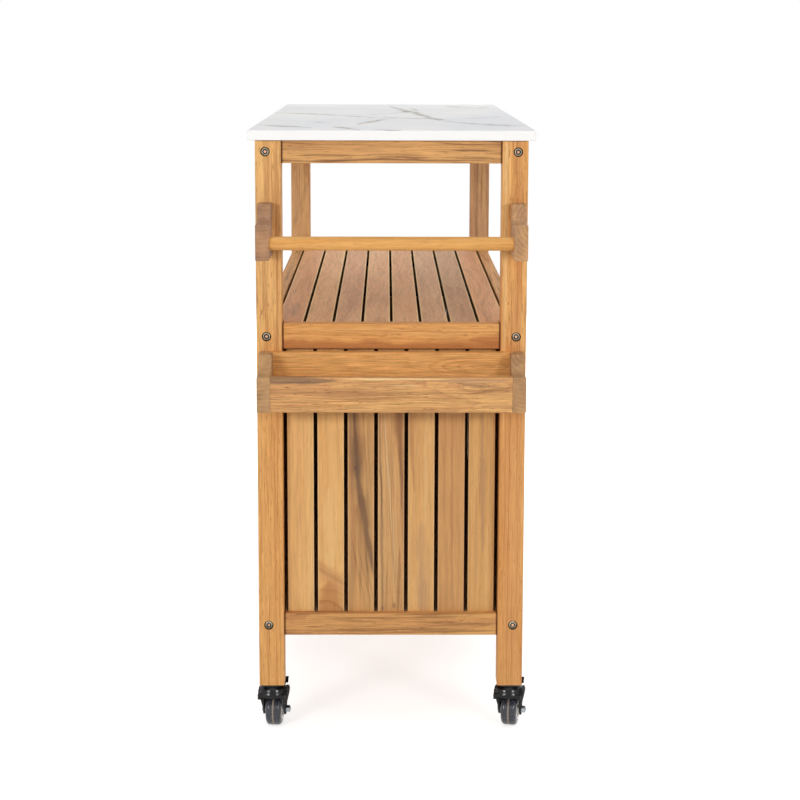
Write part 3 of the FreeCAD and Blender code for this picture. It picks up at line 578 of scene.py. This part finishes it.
def partMaterial(name):
    look = partLooks[name]
    material, tree, shader, coords = newMaterial(name)
    speckle = placeGroup(tree, surfaceGrain, Place=coords["Object"], Base=look["base"],
                         Fleck=look["fleck"], Amount=look["amount"], Size=look["size"],
                         Gloss=look["gloss"])
    tree.links.new(speckle["Color"], shader.inputs["Base Color"])
    tree.links.new(speckle["Roughness"], shader.inputs["Roughness"])
    shader.inputs["Metallic"].default_value = look.get("metal", 0.0)
    shader.inputs["Specular IOR Level"].default_value = look["specular"]
    bumpUp(tree, shader, speckle["Height"], look["bump"], fittingRelief)
    return material


partMaterials = {name: partMaterial(name) for name in partLooks}

# corner posts, each with its own long grain lines
postLook = {
    "pale": "honey", "warm": "amber", "dark": "russet", "streaks": 0.3, "lines": 0.5, "spacing": 0.01,
    "sway": 0.012, "fibre": 0.8, "pores": 0.3, "dim": 0.96,
}
posts = {
    "near_left_post": {"pale": "straw", "warm": "honey", "pores": 0.6, "fibre": 1.2,
                       "tint": (1.07, 1.02, 0.91), "marks": (
        streak(-182, 230, 60, 460, "amber", 0.55),
        streak(-182, 830, 60, 200, "cream", 0.15),
        # painted shadow: a thin dark band at the top of the post, under the stone slab
        streak(-181, 906, 60, 3, "pitch", 0.9, fray=0),
        streak(-169.5, 620, 3, 340, "russet", 0.6, lean=0.002, fray=3),
        streak(-174.5, 300, 2, 220, "russet", 0.5, lean=-0.004, fray=3),
        streak(-194, 550, 2, 300, "clay", 0.5, fray=3),
        streak(-179, 480, 1.6, 130, "russet", 0.5, lean=0.01, fray=6),
        streak(-184, 180, 1.4, 150, "russet", 0.45, fray=5),
        streak(-190, 260, 1.2, 120, "clay", 0.6, fray=5),
        streak(-168, 200, 1.6, 160, "russet", 0.45, fray=5),
    )},
    "near_right_post": {"pale": "straw", "pores": 0.6, "fibre": 1.2, "tint": (1.05, 1.0, 0.91), "marks": (
        streak(182, 200, 60, 460, "amber", 0.6),
        streak(182, 70, 40, 140, "clay", 0.55),
        streak(182, 400, 40, 300, "clay", 0.5),
        streak(167.5, 740, 5, 300, "cream", 0.6),
        streak(188, 780, 12, 200, "clay", 0.45),
        streak(186.5, 700, 2.2, 250, "russet", 0.5, lean=0.002, fray=3),
        streak(176.8, 330, 1.0, 420, "russet", 0.9, lean=0.003, fray=2),
        streak(170.5, 420, 1.2, 180, "russet", 0.5),
        streak(188.5, 460, 1.6, 150, "russet", 0.5, lean=0.004),
        streak(193.5, 300, 1.2, 200, "clay", 0.6),
        streak(183, 150, 1.2, 130, "russet", 0.45),
        # painted shadow: a thin dark band at the top of the post, under the stone slab
        streak(181, 906, 60, 3, "pitch", 0.9, fray=0),
    )},
    "far_left_post": {"pale": "straw", "warm": "biscuit", "tint": (0.95, 0.93, 0.9), "marks": (
        streak(-181, 720, 12, 50, "smoke", 0.25, lean=0.3, fray=10),
        knot(-168, 815, 5, "russet", 0.6),
    )},
    # painted shade: this post is tinted darker and greyer
    "far_right_post": {"pale": "straw", "warm": "biscuit", "tint": (0.77, 0.75, 0.86), "marks": (
        streak(176, 750, 5, 300, "smoke", 0.5),
    )},
}
boltLook = {
    "bore": 0.0072, "deep": 0.0047, "skin": 0.0002, "rim": (0.0008, 0.0016), "socket": (0.0026, 0.0036),
    "flat": 0.9,
}
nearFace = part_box("near_left_post")[0][1]
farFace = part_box("far_left_post")[1][1]
boltAxes = [middleOf(side + "_" + level + "_rail")
            for side in ("left", "right") for level in ("top", "middle", "bottom")]


def depthInPost(point):
    return point.y - nearFace if point.y < 0 else farFace - point.y


def inBore(face):
    point = face.center
    near = any(math.hypot(point.x - x, point.z - z) < boltLook["bore"] for x, y, z in boltAxes)
    return near and boltLook["skin"] < depthInPost(point) < boltLook["deep"]


for step, node in enumerate(posts):
    singleBoard(node, "xyz", dict(postLook, **posts[node]), grainSeed("posts", step),
                partMaterials["boreShade"])
    pickSlots(node, inBore)


# bolt heads: pale zinc dome, lightened as a partly painted highlight; painted shade on the flat rim round
# the hex socket; coppery socket floor, partly a painted reflection
boltFinishes = ("boltDome", "boltRimShade", "boltSocket")


def boltSlot(face):
    depth = depthInPost(face.center)
    flat = abs(face.normal.y) > boltLook["flat"]
    onRim = flat and boltLook["rim"][0] < depth < boltLook["rim"][1]
    onFloor = flat and boltLook["socket"][0] < depth < boltLook["socket"][1]
    return 1 if onRim else 2 if onFloor else 0


wear("frame_bolts_and_nuts", *[partMaterials[name] for name in boltFinishes])
pickSlots("frame_bolts_and_nuts", boltSlot)
wear("bracket_screws", partMaterials["boltDome"])

# rails
railLook = {
    "pale": "honey", "warm": "amber", "dark": "umber", "streaks": 0.35, "lines": 0.6, "spacing": 0.008,
    "sway": 0.014, "fibre": 1.0, "pores": 0.4, "dim": 0.94,
}
# the end rails carry the painted shade line at their joints with the posts
endRailLook = dict(railLook, joint=-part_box("near_left_post")[1][0])
nearRails = {
    "near_top_rail": {"warm": "clay", "lines": 0.8, "streaks": 0.5, "marks": (
        # painted shadow: a thin dark band along the top edge of the rail, under the stone slab
        streak(905, 0, 2.5, 700, "russet", 0.8, fray=1),
    )},
    "near_middle_rail": {"dark": "russet", "lines": 0.35, "streaks": 0.25,
                         "tint": (1.11, 1.06, 0.93), "marks": (
        streak(624, -70, 6, 110, "straw", 0.5, fray=6),
        streak(620, 60, 5, 60, "straw", 0.4, fray=6),
        # painted shade: this wide russet band darkens the rounded lower half of the rail along its whole
        # length
        streak(597, 0, 17, 700, "russet", 1.0, soft=0.3, fray=8),
        streak(622, 30, 2, 140, "russet", 0.5, lean=-0.01),
        streak(609, 152, 14, 40, "russet", 0.8, fray=8),
        streak(607, -150, 8, 30, "russet", 0.5, fray=8),
    )},
    "near_bottom_rail": {"warm": "clay", "streaks": 0.4, "tint": (1.04, 1.03, 0.92), "marks": (
        knot(176.5, 108, 1.6, "umber", 0.9, tall=2.0),
        knot(176, 119, 1.3, "umber", 0.9, tall=2.0),
    )},
}
for step, level in enumerate(("top", "middle", "bottom")):
    near = "near_" + level + "_rail"
    singleBoard(near, "zyx", dict(endRailLook, **nearRails[near]), grainSeed("nearRails", step))
    singleBoard("far_" + level + "_rail", "zyx", endRailLook, grainSeed("farRails", step))
    for side in ("left", "right"):
        seed = grainSeed("sideRails", step) + (side == "left") * leftRailSeed
        singleBoard(side + "_" + level + "_rail", "zxy", railLook, seed)

# upright slats of the near end, boards of the far end
slatLook = {
    "pale": "straw", "warm": "honey", "dark": "smoke", "spacing": 0.012, "sway": 0.014, "fibre": 0.6,
    "pores": 0.12, "lines": 0.14, "start": -0.15925, "pitch": 0.0455, "middle": -0.464,
    # arris: painted highlight on the slat edges; flank: painted shade on their side faces in the gaps
    "arris": 0.01975, "flank": 0.2,
    "streakBoards": (0.1, 0.05, 0.5, 0.5, 0.12, 0.2, 0.16),
    "tints": (srgb(255, 255, 252), srgb(255, 254, 248), srgb(237, 231, 228), srgb(235, 231, 233),
              srgb(244, 241, 238), srgb(227, 216, 211), srgb(238, 232, 223)),
    "marks": (
        streak(-148, 440, 0.9, 40, "driftwood", 0.6, fray=2),
        streak(-141, 405, 0.9, 45, "driftwood", 0.5, fray=2),
        streak(-137, 330, 3.0, 30, "driftwood", 0.6),
        streak(-132, 470, 0.8, 30, "driftwood", 0.6, fray=2),
        streak(-127, 425, 0.9, 45, "driftwood", 0.5, fray=2),
        streak(-93, 178, 40, 62, "russet", 0.8, fray=10),
        streak(-93, 310, 16, 80, "cream", 0.35, fray=8),
        streak(-84, 236, 26, 40, "clay", 0.85, lean=-0.9, fray=12),
        streak(-92, 244, 10, 26, "umber", 0.3, lean=-1.6, fray=10),
        knot(-99.6, 172, 22, "russet", 0.6, tall=1.05, reach=2.9, rings=1.0),
        streak(-50, 390, 20, 220, "umber", 0.4, lean=-0.1155, bow=0.36, fray=6),
        streak(-47, 380, 9, 185, "smoke", 0.9, lean=-0.1155, bow=0.36, fray=6),
        streak(-52, 425, 4, 90, "plum", 0.55, lean=-0.06),
        streak(-60, 440, 5, 80, "smoke", 0.5, lean=-0.02),
        streak(-39.5, 440, 2, 100, "umber", 0.5, lean=-0.05),
        streak(-33, 420, 1.5, 90, "umber", 0.45, lean=-0.06),
        streak(-37, 330, 1.5, 90, "umber", 0.5, lean=-0.13),
        streak(-58, 330, 8, 110, "clay", 0.65, lean=-0.04),
        streak(-53, 260, 1.4, 70, "umber", 0.5, lean=-0.16),
        streak(-46, 235, 1.4, 60, "umber", 0.5, lean=-0.2),
        streak(-38, 235, 1.6, 60, "umber", 0.5, lean=-0.22),
        streak(-31, 230, 2.5, 60, "umber", 0.45, lean=-0.16),
        streak(-50, 470, 13, 60, "umber", 0.5, lean=-0.1),
        knot(-54, 411, 2.8, "plum", 1.0),
        streak(-3.7, 390, 2.6, 135, "cream", 0.95, lean=-0.0695, fray=3),
        streak(-9, 450, 1.4, 60, "smoke", 0.5, lean=-0.05, fray=3),
        streak(0.5, 420, 1.2, 70, "clay", 0.6, lean=-0.07, fray=3),
        streak(-1, 330, 1.6, 90, "umber", 0.45, lean=-0.05),
        streak(8, 330, 1.4, 120, "cream", 0.6, lean=-0.03),
        streak(4.5, 270, 3, 80, "cream", 0.6, lean=-0.02),
        streak(-6, 230, 2, 60, "smoke", 0.4, lean=0.03, fray=5),
        streak(10, 475, 11, 60, "umber", 0.5, lean=-0.04),
        streak(17.5, 395, 7, 150, "clay", 0.75, lean=-0.02),
        streak(-14, 290, 4, 140, "smoke", 0.7, lean=-0.01, fray=6),
        streak(-16, 420, 2.5, 100, "smoke", 0.75, lean=-0.02, fray=5),
        streak(13, 445, 8, 110, "umber", 0.7, lean=-0.04, fray=6),
        streak(12, 235, 5, 60, "umber", 0.65, lean=0.04, fray=7),
        streak(3, 300, 1.4, 110, "umber", 0.75, lean=-0.04, fray=5),
        knot(5, 197, 5, "smoke", 0.6, tall=2.0, rings=0.12),
        knot(-13, 193, 4.5, "slate", 0.6, rings=0.12),
        streak(30.5, 455, 8, 90, "clay", 0.95, lean=-0.05, fray=6),
        knot(39.9, 287.5, 1.1, "umber", 0.95, tall=2.4, rings=0.0),
        streak(46, 255, 20, 80, "driftwood", 0.5, fray=10),
        streak(52, 400, 5, 90, "cream", 0.4, fray=8),
        streak(50, 205, 16, 36, "driftwood", 0.5, fray=8),
        streak(92, 370, 5, 170, "clay", 0.6, fray=8),
        streak(81, 440, 4, 120, "clay", 0.4),
        streak(102, 280, 4, 90, "clay", 0.4),
        streak(138, 395, 7, 130, "driftwood", 0.8, lean=-0.01, fray=8),
        streak(146, 250, 5, 80, "cream", 0.4, fray=8),
        streak(129, 300, 5, 90, "driftwood", 0.4),
    ),
}
farSlatLook = {
    "pale": "straw", "warm": "honey", "dark": "umber", "spacing": 0.012, "sway": 0.014, "fibre": 0.8,
    "pores": 0.25, "lines": 0.3, "start": -0.16175, "pitch": 0.046214, "middle": 0.534, "streaks": 0.4,
    "dim": 0.82,
}
wear("end_panel_slats", acaciaMaterial("near_slat_acacia", "xyz", slatLook, grainSeed("nearSlats")),
     acaciaMaterial("far_board_acacia", "xyz", farSlatLook, grainSeed("farBoards")))
pickSlots("end_panel_slats", lambda face: face.center.y > 0)

# boards of the back panel and of the doors
panelLook = {
    "pale": "honey", "warm": "amber", "dark": "umber", "streaks": 0.45, "lines": 0.4, "spacing": 0.011,
    "sway": 0.013, "fibre": 0.9, "pores": 0.3, "dim": 0.8,
}
backCells = dict(panelLook, start=-0.44675, pitch=0.045881, middle=-0.179)
backSeed = grainSeed("backBoards")
wear("back_panel_boards", acaciaMaterial("back_board_acacia", "yxz", backCells, backSeed))
doorLook = {"boards": 9, "gap": 0.0005}
for step, end in enumerate(("near", "far")):
    low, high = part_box(end + "_door_boards")
    pitch = (high[1] - low[1] + doorLook["gap"]) / doorLook["boards"]
    doorCells = dict(panelLook, start=low[1] - doorLook["gap"] / 2, pitch=pitch,
                     middle=(low[0] + high[0]) / 2)
    doorBoards = acaciaMaterial(end + "_door_board_acacia", "yxz", doorCells,
                                grainSeed("doorBoards", step))
    wear(end + "_door_boards", doorBoards)

# shelf and cabinet floor
deckLook = {
    "pale": "shell", "warm": "blush", "dark": "umber", "streaks": 0.3, "lines": 0.25, "spacing": 0.012,
    # flank: painted shade on the side faces in the gaps between slats
    "sway": 0.06, "sheen": 0.3, "fibre": 0.8, "pores": 0.3, "dim": 0.9, "flank": 0.25,
}
decks = {
    "shelf_slats": {
        # painted light: the shelf is tinted lighter still, and its edges carry a strong painted highlight
        # (arrisDepth)
        "start": -0.173, "pitch": 0.04325, "arris": 0.019, "arrisDepth": 0.9, "tint": (1.05, 1.06, 1.0),
        "tints": (srgb(246, 232, 222), srgb(255, 250, 240), srgb(248, 242, 242), srgb(255, 252, 250),
                  srgb(252, 246, 240), srgb(244, 243, 246), srgb(228, 226, 228), srgb(250, 234, 226)),
        "marks": (
            knot(-111, -116, 10, "clay", 0.1, tall=5.0, reach=5.0, rings=0.35),
            knot(-30, -30, 9, "clay", 0.1, tall=6.0, reach=5.0, rings=0.3),
            streak(-150, -330, 16, 90, "slate", 0.5, fray=14),
            streak(55, 60, 12, 160, "driftwood", 0.4, fray=14),
            streak(100, -60, 14, 200, "driftwood", 0.4, fray=14),
        ),
    },
    "cabinet_floor_slats": {"start": -0.17475, "pitch": 0.0436875},
}
# painted shade: the battens, seen only through the gaps, are tinted dark and given no sheen
battenLook = {"start": -0.45, "pitch": 0.3, "middle": 0.4, "sheen": 0.0, "tint": (0.3, 0.26, 0.22)}
for step, node in enumerate(decks):
    deckBoards(node, dict(deckLook, **decks[node]), grainSeed("decks", step))
battenCells = dict(deckLook, **battenLook)
wear("slat_battens", acaciaMaterial("batten_acacia", "yzx", battenCells, grainSeed("battens")))

# towel bar, brackets and rack
bracketLook = {
    "pale": "biscuit", "warm": "driftwood", "dark": "umber", "streaks": 0.3, "lines": 0.3, "spacing": 0.006,
    "sway": 0.01, "fibre": 0.9, "pores": 0.35, "start": -0.37, "pitch": 0.37,
}
bracketTints = {
    "towel_brackets": {"tints": ((0.79, 0.77, 0.87, 1.0), (1.0, 1.0, 1.0, 1.0)),
                       "tint": (1.04, 1.02, 0.92)},
    "rack_sides": {"tints": ((1.0, 1.0, 1.0, 1.0), (0.97, 0.96, 0.95, 1.0)),
                   "tint": (0.91, 0.92, 0.82)},
}
for step, node in enumerate(bracketTints):
    deckBoards(node, dict(bracketLook, **bracketTints[node]), grainSeed("brackets", step))
barLook = {
    "pale": "straw", "warm": "amber", "dark": "russet", "streaks": 0.15, "lines": 0.2, "spacing": 0.01,
    "sway": 0.006, "fibre": 0.8, "pores": 0.2, "dim": 1.0, "tint": (1.08, 1.06, 0.91),
}
singleBoard("towel_bar", "zyx", barLook, grainSeed("bar"))
rackLook = {
    "pale": "honey", "warm": "clay", "dark": "umber", "streaks": 0.25, "lines": 0.4, "spacing": 0.009,
    "sway": 0.02, "fibre": 1.4, "pores": 0.6, "dim": 1.0,
}
rackBoards = {
    "rack_front": {"tint": (1.1, 1.14, 1.12), "marks": (
        streak(563.5, -150, 8, 78, "smoke", 0.95, fray=3, soft=0.6),
        streak(561, -130, 2, 40, "plum", 0.6, fray=3),
        # light streak along the top edge: partly pale wood in the board, partly a painted highlight on the
        # lit edge
        streak(565.5, 5, 2.4, 88, "cream", 0.9, fray=3),
        streak(556, 22, 2.4, 28, "cream", 0.5),
        knot(553, 128, 5, "umber", 0.45, tall=4.5, reach=5.0, rings=0.25),
        streak(556, 125, 3.5, 34, "smoke", 0.75, lean=-0.1),
        streak(563, 115, 5, 60, "driftwood", 0.7, fray=6),
        streak(527, -110, 3, 90, "russet", 0.6, lean=0.01, fray=5),
        streak(533, -60, 1.5, 85, "russet", 0.45),
        streak(523, 60, 2.5, 90, "russet", 0.45),
        streak(545, -20, 2, 150, "umber", 0.4, fray=6),
        streak(538, 40, 2.5, 110, "russet", 0.5, fray=6),
        streak(548, 140, 5, 36, "umber", 0.5, lean=0.12, fray=7),
        streak(531, 120, 3, 60, "umber", 0.4, lean=-0.05, fray=6),
    )},
    "rack_back": {"warm": "amber", "dark": "russet", "cone": 0.2, "spacing": 0.011, "streaks": 0.1,
                  "lines": 0.2, "pores": 0.3, "tint": (1.17, 1.15, 1.03), "marks": (
        knot(574, -137, 4, "clay", 0.3, tall=2.2, reach=3.5),
        knot(572, 135, 4.5, "russet", 0.1, tall=6.0, reach=4.5, rings=0.75),
        streak(580, 60, 1.2, 70, "russet", 0.45, lean=0.12, fray=3),
        streak(566, 60, 1.2, 70, "russet", 0.45, lean=-0.12, fray=3),
    )},
    "rack_floor": {},
}
for step, node in enumerate(rackBoards):
    singleBoard(node, "zyx", dict(rackLook, **rackBoards[node]), grainSeed("rack", step))

# door frames: stiles upright, rails level
frameLook = dict(railLook, dim=0.9)
stileWidth = 0.0455  # just past the stile
for step, end in enumerate(("near", "far")):
    node = end + "_door_frame"
    low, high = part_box(node)
    thick = middleOf(node)[0]
    stile = dict(frameLook, start=low[1], pitch=(high[1] - low[1]) / 2, middle=thick)
    rail = dict(frameLook, start=low[2], pitch=(high[2] - low[2]) / 2, middle=thick)
    wear(node, acaciaMaterial(end + "_stile_acacia", "yxz", stile, grainSeed("stiles", step)),
         acaciaMaterial(end + "_door_rail_acacia", "zxy", rail, grainSeed("doorRails", step)))
    pickSlots(node, lambda face: low[1] + stileWidth < face.center.y < high[1] - stileWidth)
    singleBoard(end + "_door_knob", "yzx", frameLook, grainSeed("knobs", step))
print("boards and bolts dressed")


# stone top: veins in millimetres, running along the slab (y) or across it (x)
def vein(u, w, wide, long, depth, lean=0.0, bow=0.0, fray=18.0, along="y"):
    return dict(streak(u, w, wide, long, "slate", depth, lean, bow, fray, ripple=17.0), along=along)


stoneLook = {
    "white": srgb(245, 244, 242), "cloud": srgb(233, 234, 237),
    "vein": srgb(142, 140, 136), "rust": srgb(170, 158, 140), "swell": 1.4, "halo": 3.2,
    "haze": 0.28, "sheen": 0.12, "upperFace": (0.3, 0.8),
    "veins": (
        vein(40, 145, 8, 370, 0.9, lean=-0.124, fray=26),
        vein(45, 300, 6, 65, 0.8, lean=-0.1, fray=12),
        vein(27, 190, 9, 60, 0.7, fray=12),
        vein(75, -100, 11, 45, 0.8, lean=-0.2, fray=14),
        vein(-300, 140, 20, 80, 0.9, lean=-1.405, bow=14.1, along="x"),
        vein(58, -117, 14, 108, 0.75, lean=-1.076, bow=-3.7, along="x"),
        vein(-33, -228, 6, 98, 0.9, lean=0.24),
        vein(-17, -154, 9, 26, 0.9, lean=0.3, fray=8),
        vein(-4, 111, 5, 62, 0.75, lean=0.56),
        vein(-83, 31, 13, 52, 0.85, lean=-0.5, along="x"),
        vein(425, 137, 26, 32, 0.5, lean=-2.0, along="x"),
        vein(402, 180, 26, 18, 0.5, lean=2.2, along="x"),
        vein(-48, 162, 11, 48, 0.5, lean=1.16, along="x"),
        vein(-372, -166, 12, 52, 0.8, lean=-0.95, along="x"),
        vein(-435, -68, 18, 24, 0.75, lean=-2.2, along="x"),
        vein(-488, -8, 11, 32, 0.75, lean=-0.5, along="x"),
        vein(-244, -111, 16, 17, 0.45, lean=-0.8, along="x"),
    ),
}
stonePatches = {  # scale and detail, then the edges of the mask and what it gives
    "cloud": ((6.0, 3.5, 6.0), 3.0, (0.35, 0.7)),
    "rust": ((16.0, 16.0, 16.0), 2.0, (0.4, 0.65)),
    "broken": ((34.0, 22.0, 30.0), 3.0, (0.38, 0.58, 0.35, 1.0)),
    "polish": ((40.0, 40.0, 40.0), 2.0, (0.3, 0.7, 0.42, 0.56)),
}


def stonePatch(tree, place, key):
    scale, detail, edges = stonePatches[key]
    return remap(tree, noise(tree, place, scale, detail), *edges)


def stoneMaterial():
    material, tree, shader, coords = newMaterial("veined_stone")
    x, y, z = splitXyz(tree, coords["Object"])
    place = {"y": joinXyz(tree, x, z, y), "x": joinXyz(tree, y, z, x)}
    facing = splitXyz(tree, coords["Normal"])
    printed = remap(tree, facing[2], *stoneLook["upperFace"])  # the sides have no figure
    soft = calc(tree, "MULTIPLY", stonePatch(tree, coords["Object"], "cloud"), printed)
    color = mixColor(tree, soft, stoneLook["white"], stoneLook["cloud"])
    rusty = stonePatch(tree, coords["Object"], "rust")
    ink = mixColor(tree, rusty, stoneLook["vein"], stoneLook["rust"])
    fading = calc(tree, "MULTIPLY", stonePatch(tree, coords["Object"], "broken"), printed)
    for line in stoneLook["veins"]:
        for wider, share in ((stoneLook["halo"], stoneLook["haze"]), (stoneLook["swell"], 1.0)):
            sockets = dict(line["sockets"], Width=wider * line["sockets"]["Width"])
            band = placeGroup(tree, slantedStreak, Place=place[line["along"]], **sockets)
            reach = calc(tree, "MULTIPLY", band["Mask"], share * line["depths"]["Mask"])
            color = mixColor(tree, calc(tree, "MULTIPLY", reach, fading), color, ink)
    tree.links.new(color, shader.inputs["Base Color"])
    tree.links.new(stonePatch(tree, coords["Object"], "polish"), shader.inputs["Roughness"])
    shader.inputs["Specular IOR Level"].default_value = stoneLook["sheen"]
    return material


wear("countertop", stoneMaterial())
print("stone top dressed")

# hinges and casters
for node in ("post_hinges_and_catch", "near_door_hinges_and_strike", "far_door_hinges_and_strike"):
    wear(node, partMaterials["hingeNickel"])
wear("caster_stems", partMaterials["blackFork"])
casterLook = {"seamHalf": 0.0013, "seamInner": 0.0235, "flank": 0.8}


def onSeam(point, hub, axis):
    out = Vector(point) - hub
    along = out.dot(axis)
    around = (out - along * axis).length
    return abs(along) < casterLook["seamHalf"] and around > casterLook["seamInner"]


for place in ("near_left", "near_right", "far_left", "far_right"):
    roll = cartJoints[place + "_roll"]
    hub, axis = Vector(roll["pos_m"]), Vector(roll["axis"])
    wear(place + "_axle", partMaterials["silverNut"])
    wear(place + "_hub", partMaterials["creamHub"])
    for node, finish in ((place + "_fork", "blackFork"), (place + "_brake_pedal", "blackPedal")):
        wear(node, partMaterials[finish], partMaterials["blackFlank"])
        pickSlots(node, lambda face: abs(face.normal.dot(axis)) > casterLook["flank"])
    wear(place + "_tyre", partMaterials["blackTyre"], partMaterials["tanSeam"])
    pickSlots(place + "_tyre", lambda face: onSeam(face.center, hub, axis))
print("casters and fittings dressed")

# stage: pale floor, white surround, soft lamps
stageLook = {
    "floor": (0.8, 0.8, 0.8, 1.0), "patch": (3.0, 3.0, 3.0), "mottle": (0.3, 0.7, 0.97, 1.0), "rough": 0.9,
    "white": (1.0, 1.0, 1.0, 1.0), "glow": 0.62, "ambient": 0.5, "size": 12.0,
}


def backgroundRay(tree):
    rays = addNode(tree, "LightPath").outputs
    seen = calc(tree, "MAXIMUM", rays["Is Camera Ray"], rays["Is Glossy Ray"])
    return calc(tree, "MAXIMUM", seen, rays["Is Transmission Ray"])


def makeFloor():
    mesh = bpy.data.meshes.new("studio_floor")
    reach = stageLook["size"]
    corners = [(-reach, -reach, 0), (reach, -reach, 0), (reach, reach, 0), (-reach, reach, 0)]
    mesh.from_pydata(corners, [], [(0, 1, 2, 3)])
    floor = bpy.data.objects.new("studio_floor", mesh)
    bpy.context.scene.collection.objects.link(floor)
    material, tree, shader, coords = newMaterial("pale_floor")
    patch = noise(tree, coords["Object"], stageLook["patch"])
    mottle = remap(tree, patch, *stageLook["mottle"], "LINEAR")
    color = tintBy(tree, stageLook["floor"], mottle)
    tree.links.new(color, shader.inputs["Base Color"])
    shader.inputs["Roughness"].default_value = stageLook["rough"]
    shader.inputs["Specular IOR Level"].default_value = 0.0
    shader.inputs["Emission Color"].default_value = stageLook["white"]
    glow = calc(tree, "MULTIPLY", backgroundRay(tree), stageLook["glow"])
    tree.links.new(glow, shader.inputs["Emission Strength"])
    mesh.materials.append(material)


def makeWorld():
    world = bpy.data.worlds.new("white_surround")
    bpy.context.scene.world = world
    world.use_nodes = True
    tree = world.node_tree
    shade = tree.nodes["Background"]
    shade.inputs["Color"].default_value = stageLook["white"]
    level = remap(tree, backgroundRay(tree), 0.0, 1.0, stageLook["ambient"], 1.0, "LINEAR")
    tree.links.new(level, shade.inputs["Strength"])


lamps = {
    "left_softbox": {"at": (-1.9, -3.1, 1.35), "aim": (0.0, -0.5, 0.5), "size": (0.9, 0.35), "watts": 32.5},
    "right_softbox": {"at": (2.0, -3.1, 1.35), "aim": (0.0, -0.5, 0.5), "size": (0.9, 0.35), "watts": 29.5},
    "top_softbox": {"at": (0.0, -0.6, 3.4), "aim": (0.0, 0.0, 0.9), "size": (3.0, 3.0), "watts": 12.0},
    "back_softbox": {"at": (0.5, 3.4, 1.5), "aim": (0.0, 0.2, 0.6), "size": (2.0, 2.0),
                     "watts": 95.0, "glossy": False},
}


def makeLamp(name, lamp):
    data = bpy.data.lights.new(name, "AREA")
    data.shape = "RECTANGLE"
    data.size, data.size_y = lamp["size"]
    data.energy = lamp["watts"]
    light = bpy.data.objects.new(name, data)
    light.location = lamp["at"]
    aim = Vector(lamp["aim"]) - Vector(lamp["at"])
    light.rotation_euler = aim.to_track_quat("-Z", "Y").to_euler()
    light.visible_glossy = lamp.get("glossy", True)
    bpy.context.scene.collection.objects.link(light)


makeFloor()
makeWorld()
for name, lamp in lamps.items():
    makeLamp(name, lamp)

# camera at the photograph's angle
cameraLook = {
    "at": (-0.008, -3.1217, 1.0498), "yaw": 0.448, "pitch": 8.33, "roll": 0.149, "lens": 81.15,
    "sensor": 36.0, "shift": -0.12, "near": 0.05, "far": 60.0,
}


def makeCamera():
    data = bpy.data.cameras.new("front_camera")
    data.lens = cameraLook["lens"]
    data.sensor_width = cameraLook["sensor"]
    data.shift_y = cameraLook["shift"]
    data.clip_start = cameraLook["near"]
    data.clip_end = cameraLook["far"]
    camera = bpy.data.objects.new("front_camera", data)
    turn = Matrix.Rotation(-math.radians(cameraLook["yaw"]), 4, "Z")
    tilt = Matrix.Rotation(math.radians(90 - cameraLook["pitch"]), 4, "X")
    roll = Matrix.Rotation(math.radians(cameraLook["roll"]), 4, "Z")
    camera.matrix_world = Matrix.Translation(cameraLook["at"]) @ turn @ tilt @ roll
    bpy.context.scene.collection.objects.link(camera)
    bpy.context.scene.camera = camera


makeCamera()
bpy.context.scene.view_settings.view_transform = "Standard"
print("stage and camera set")
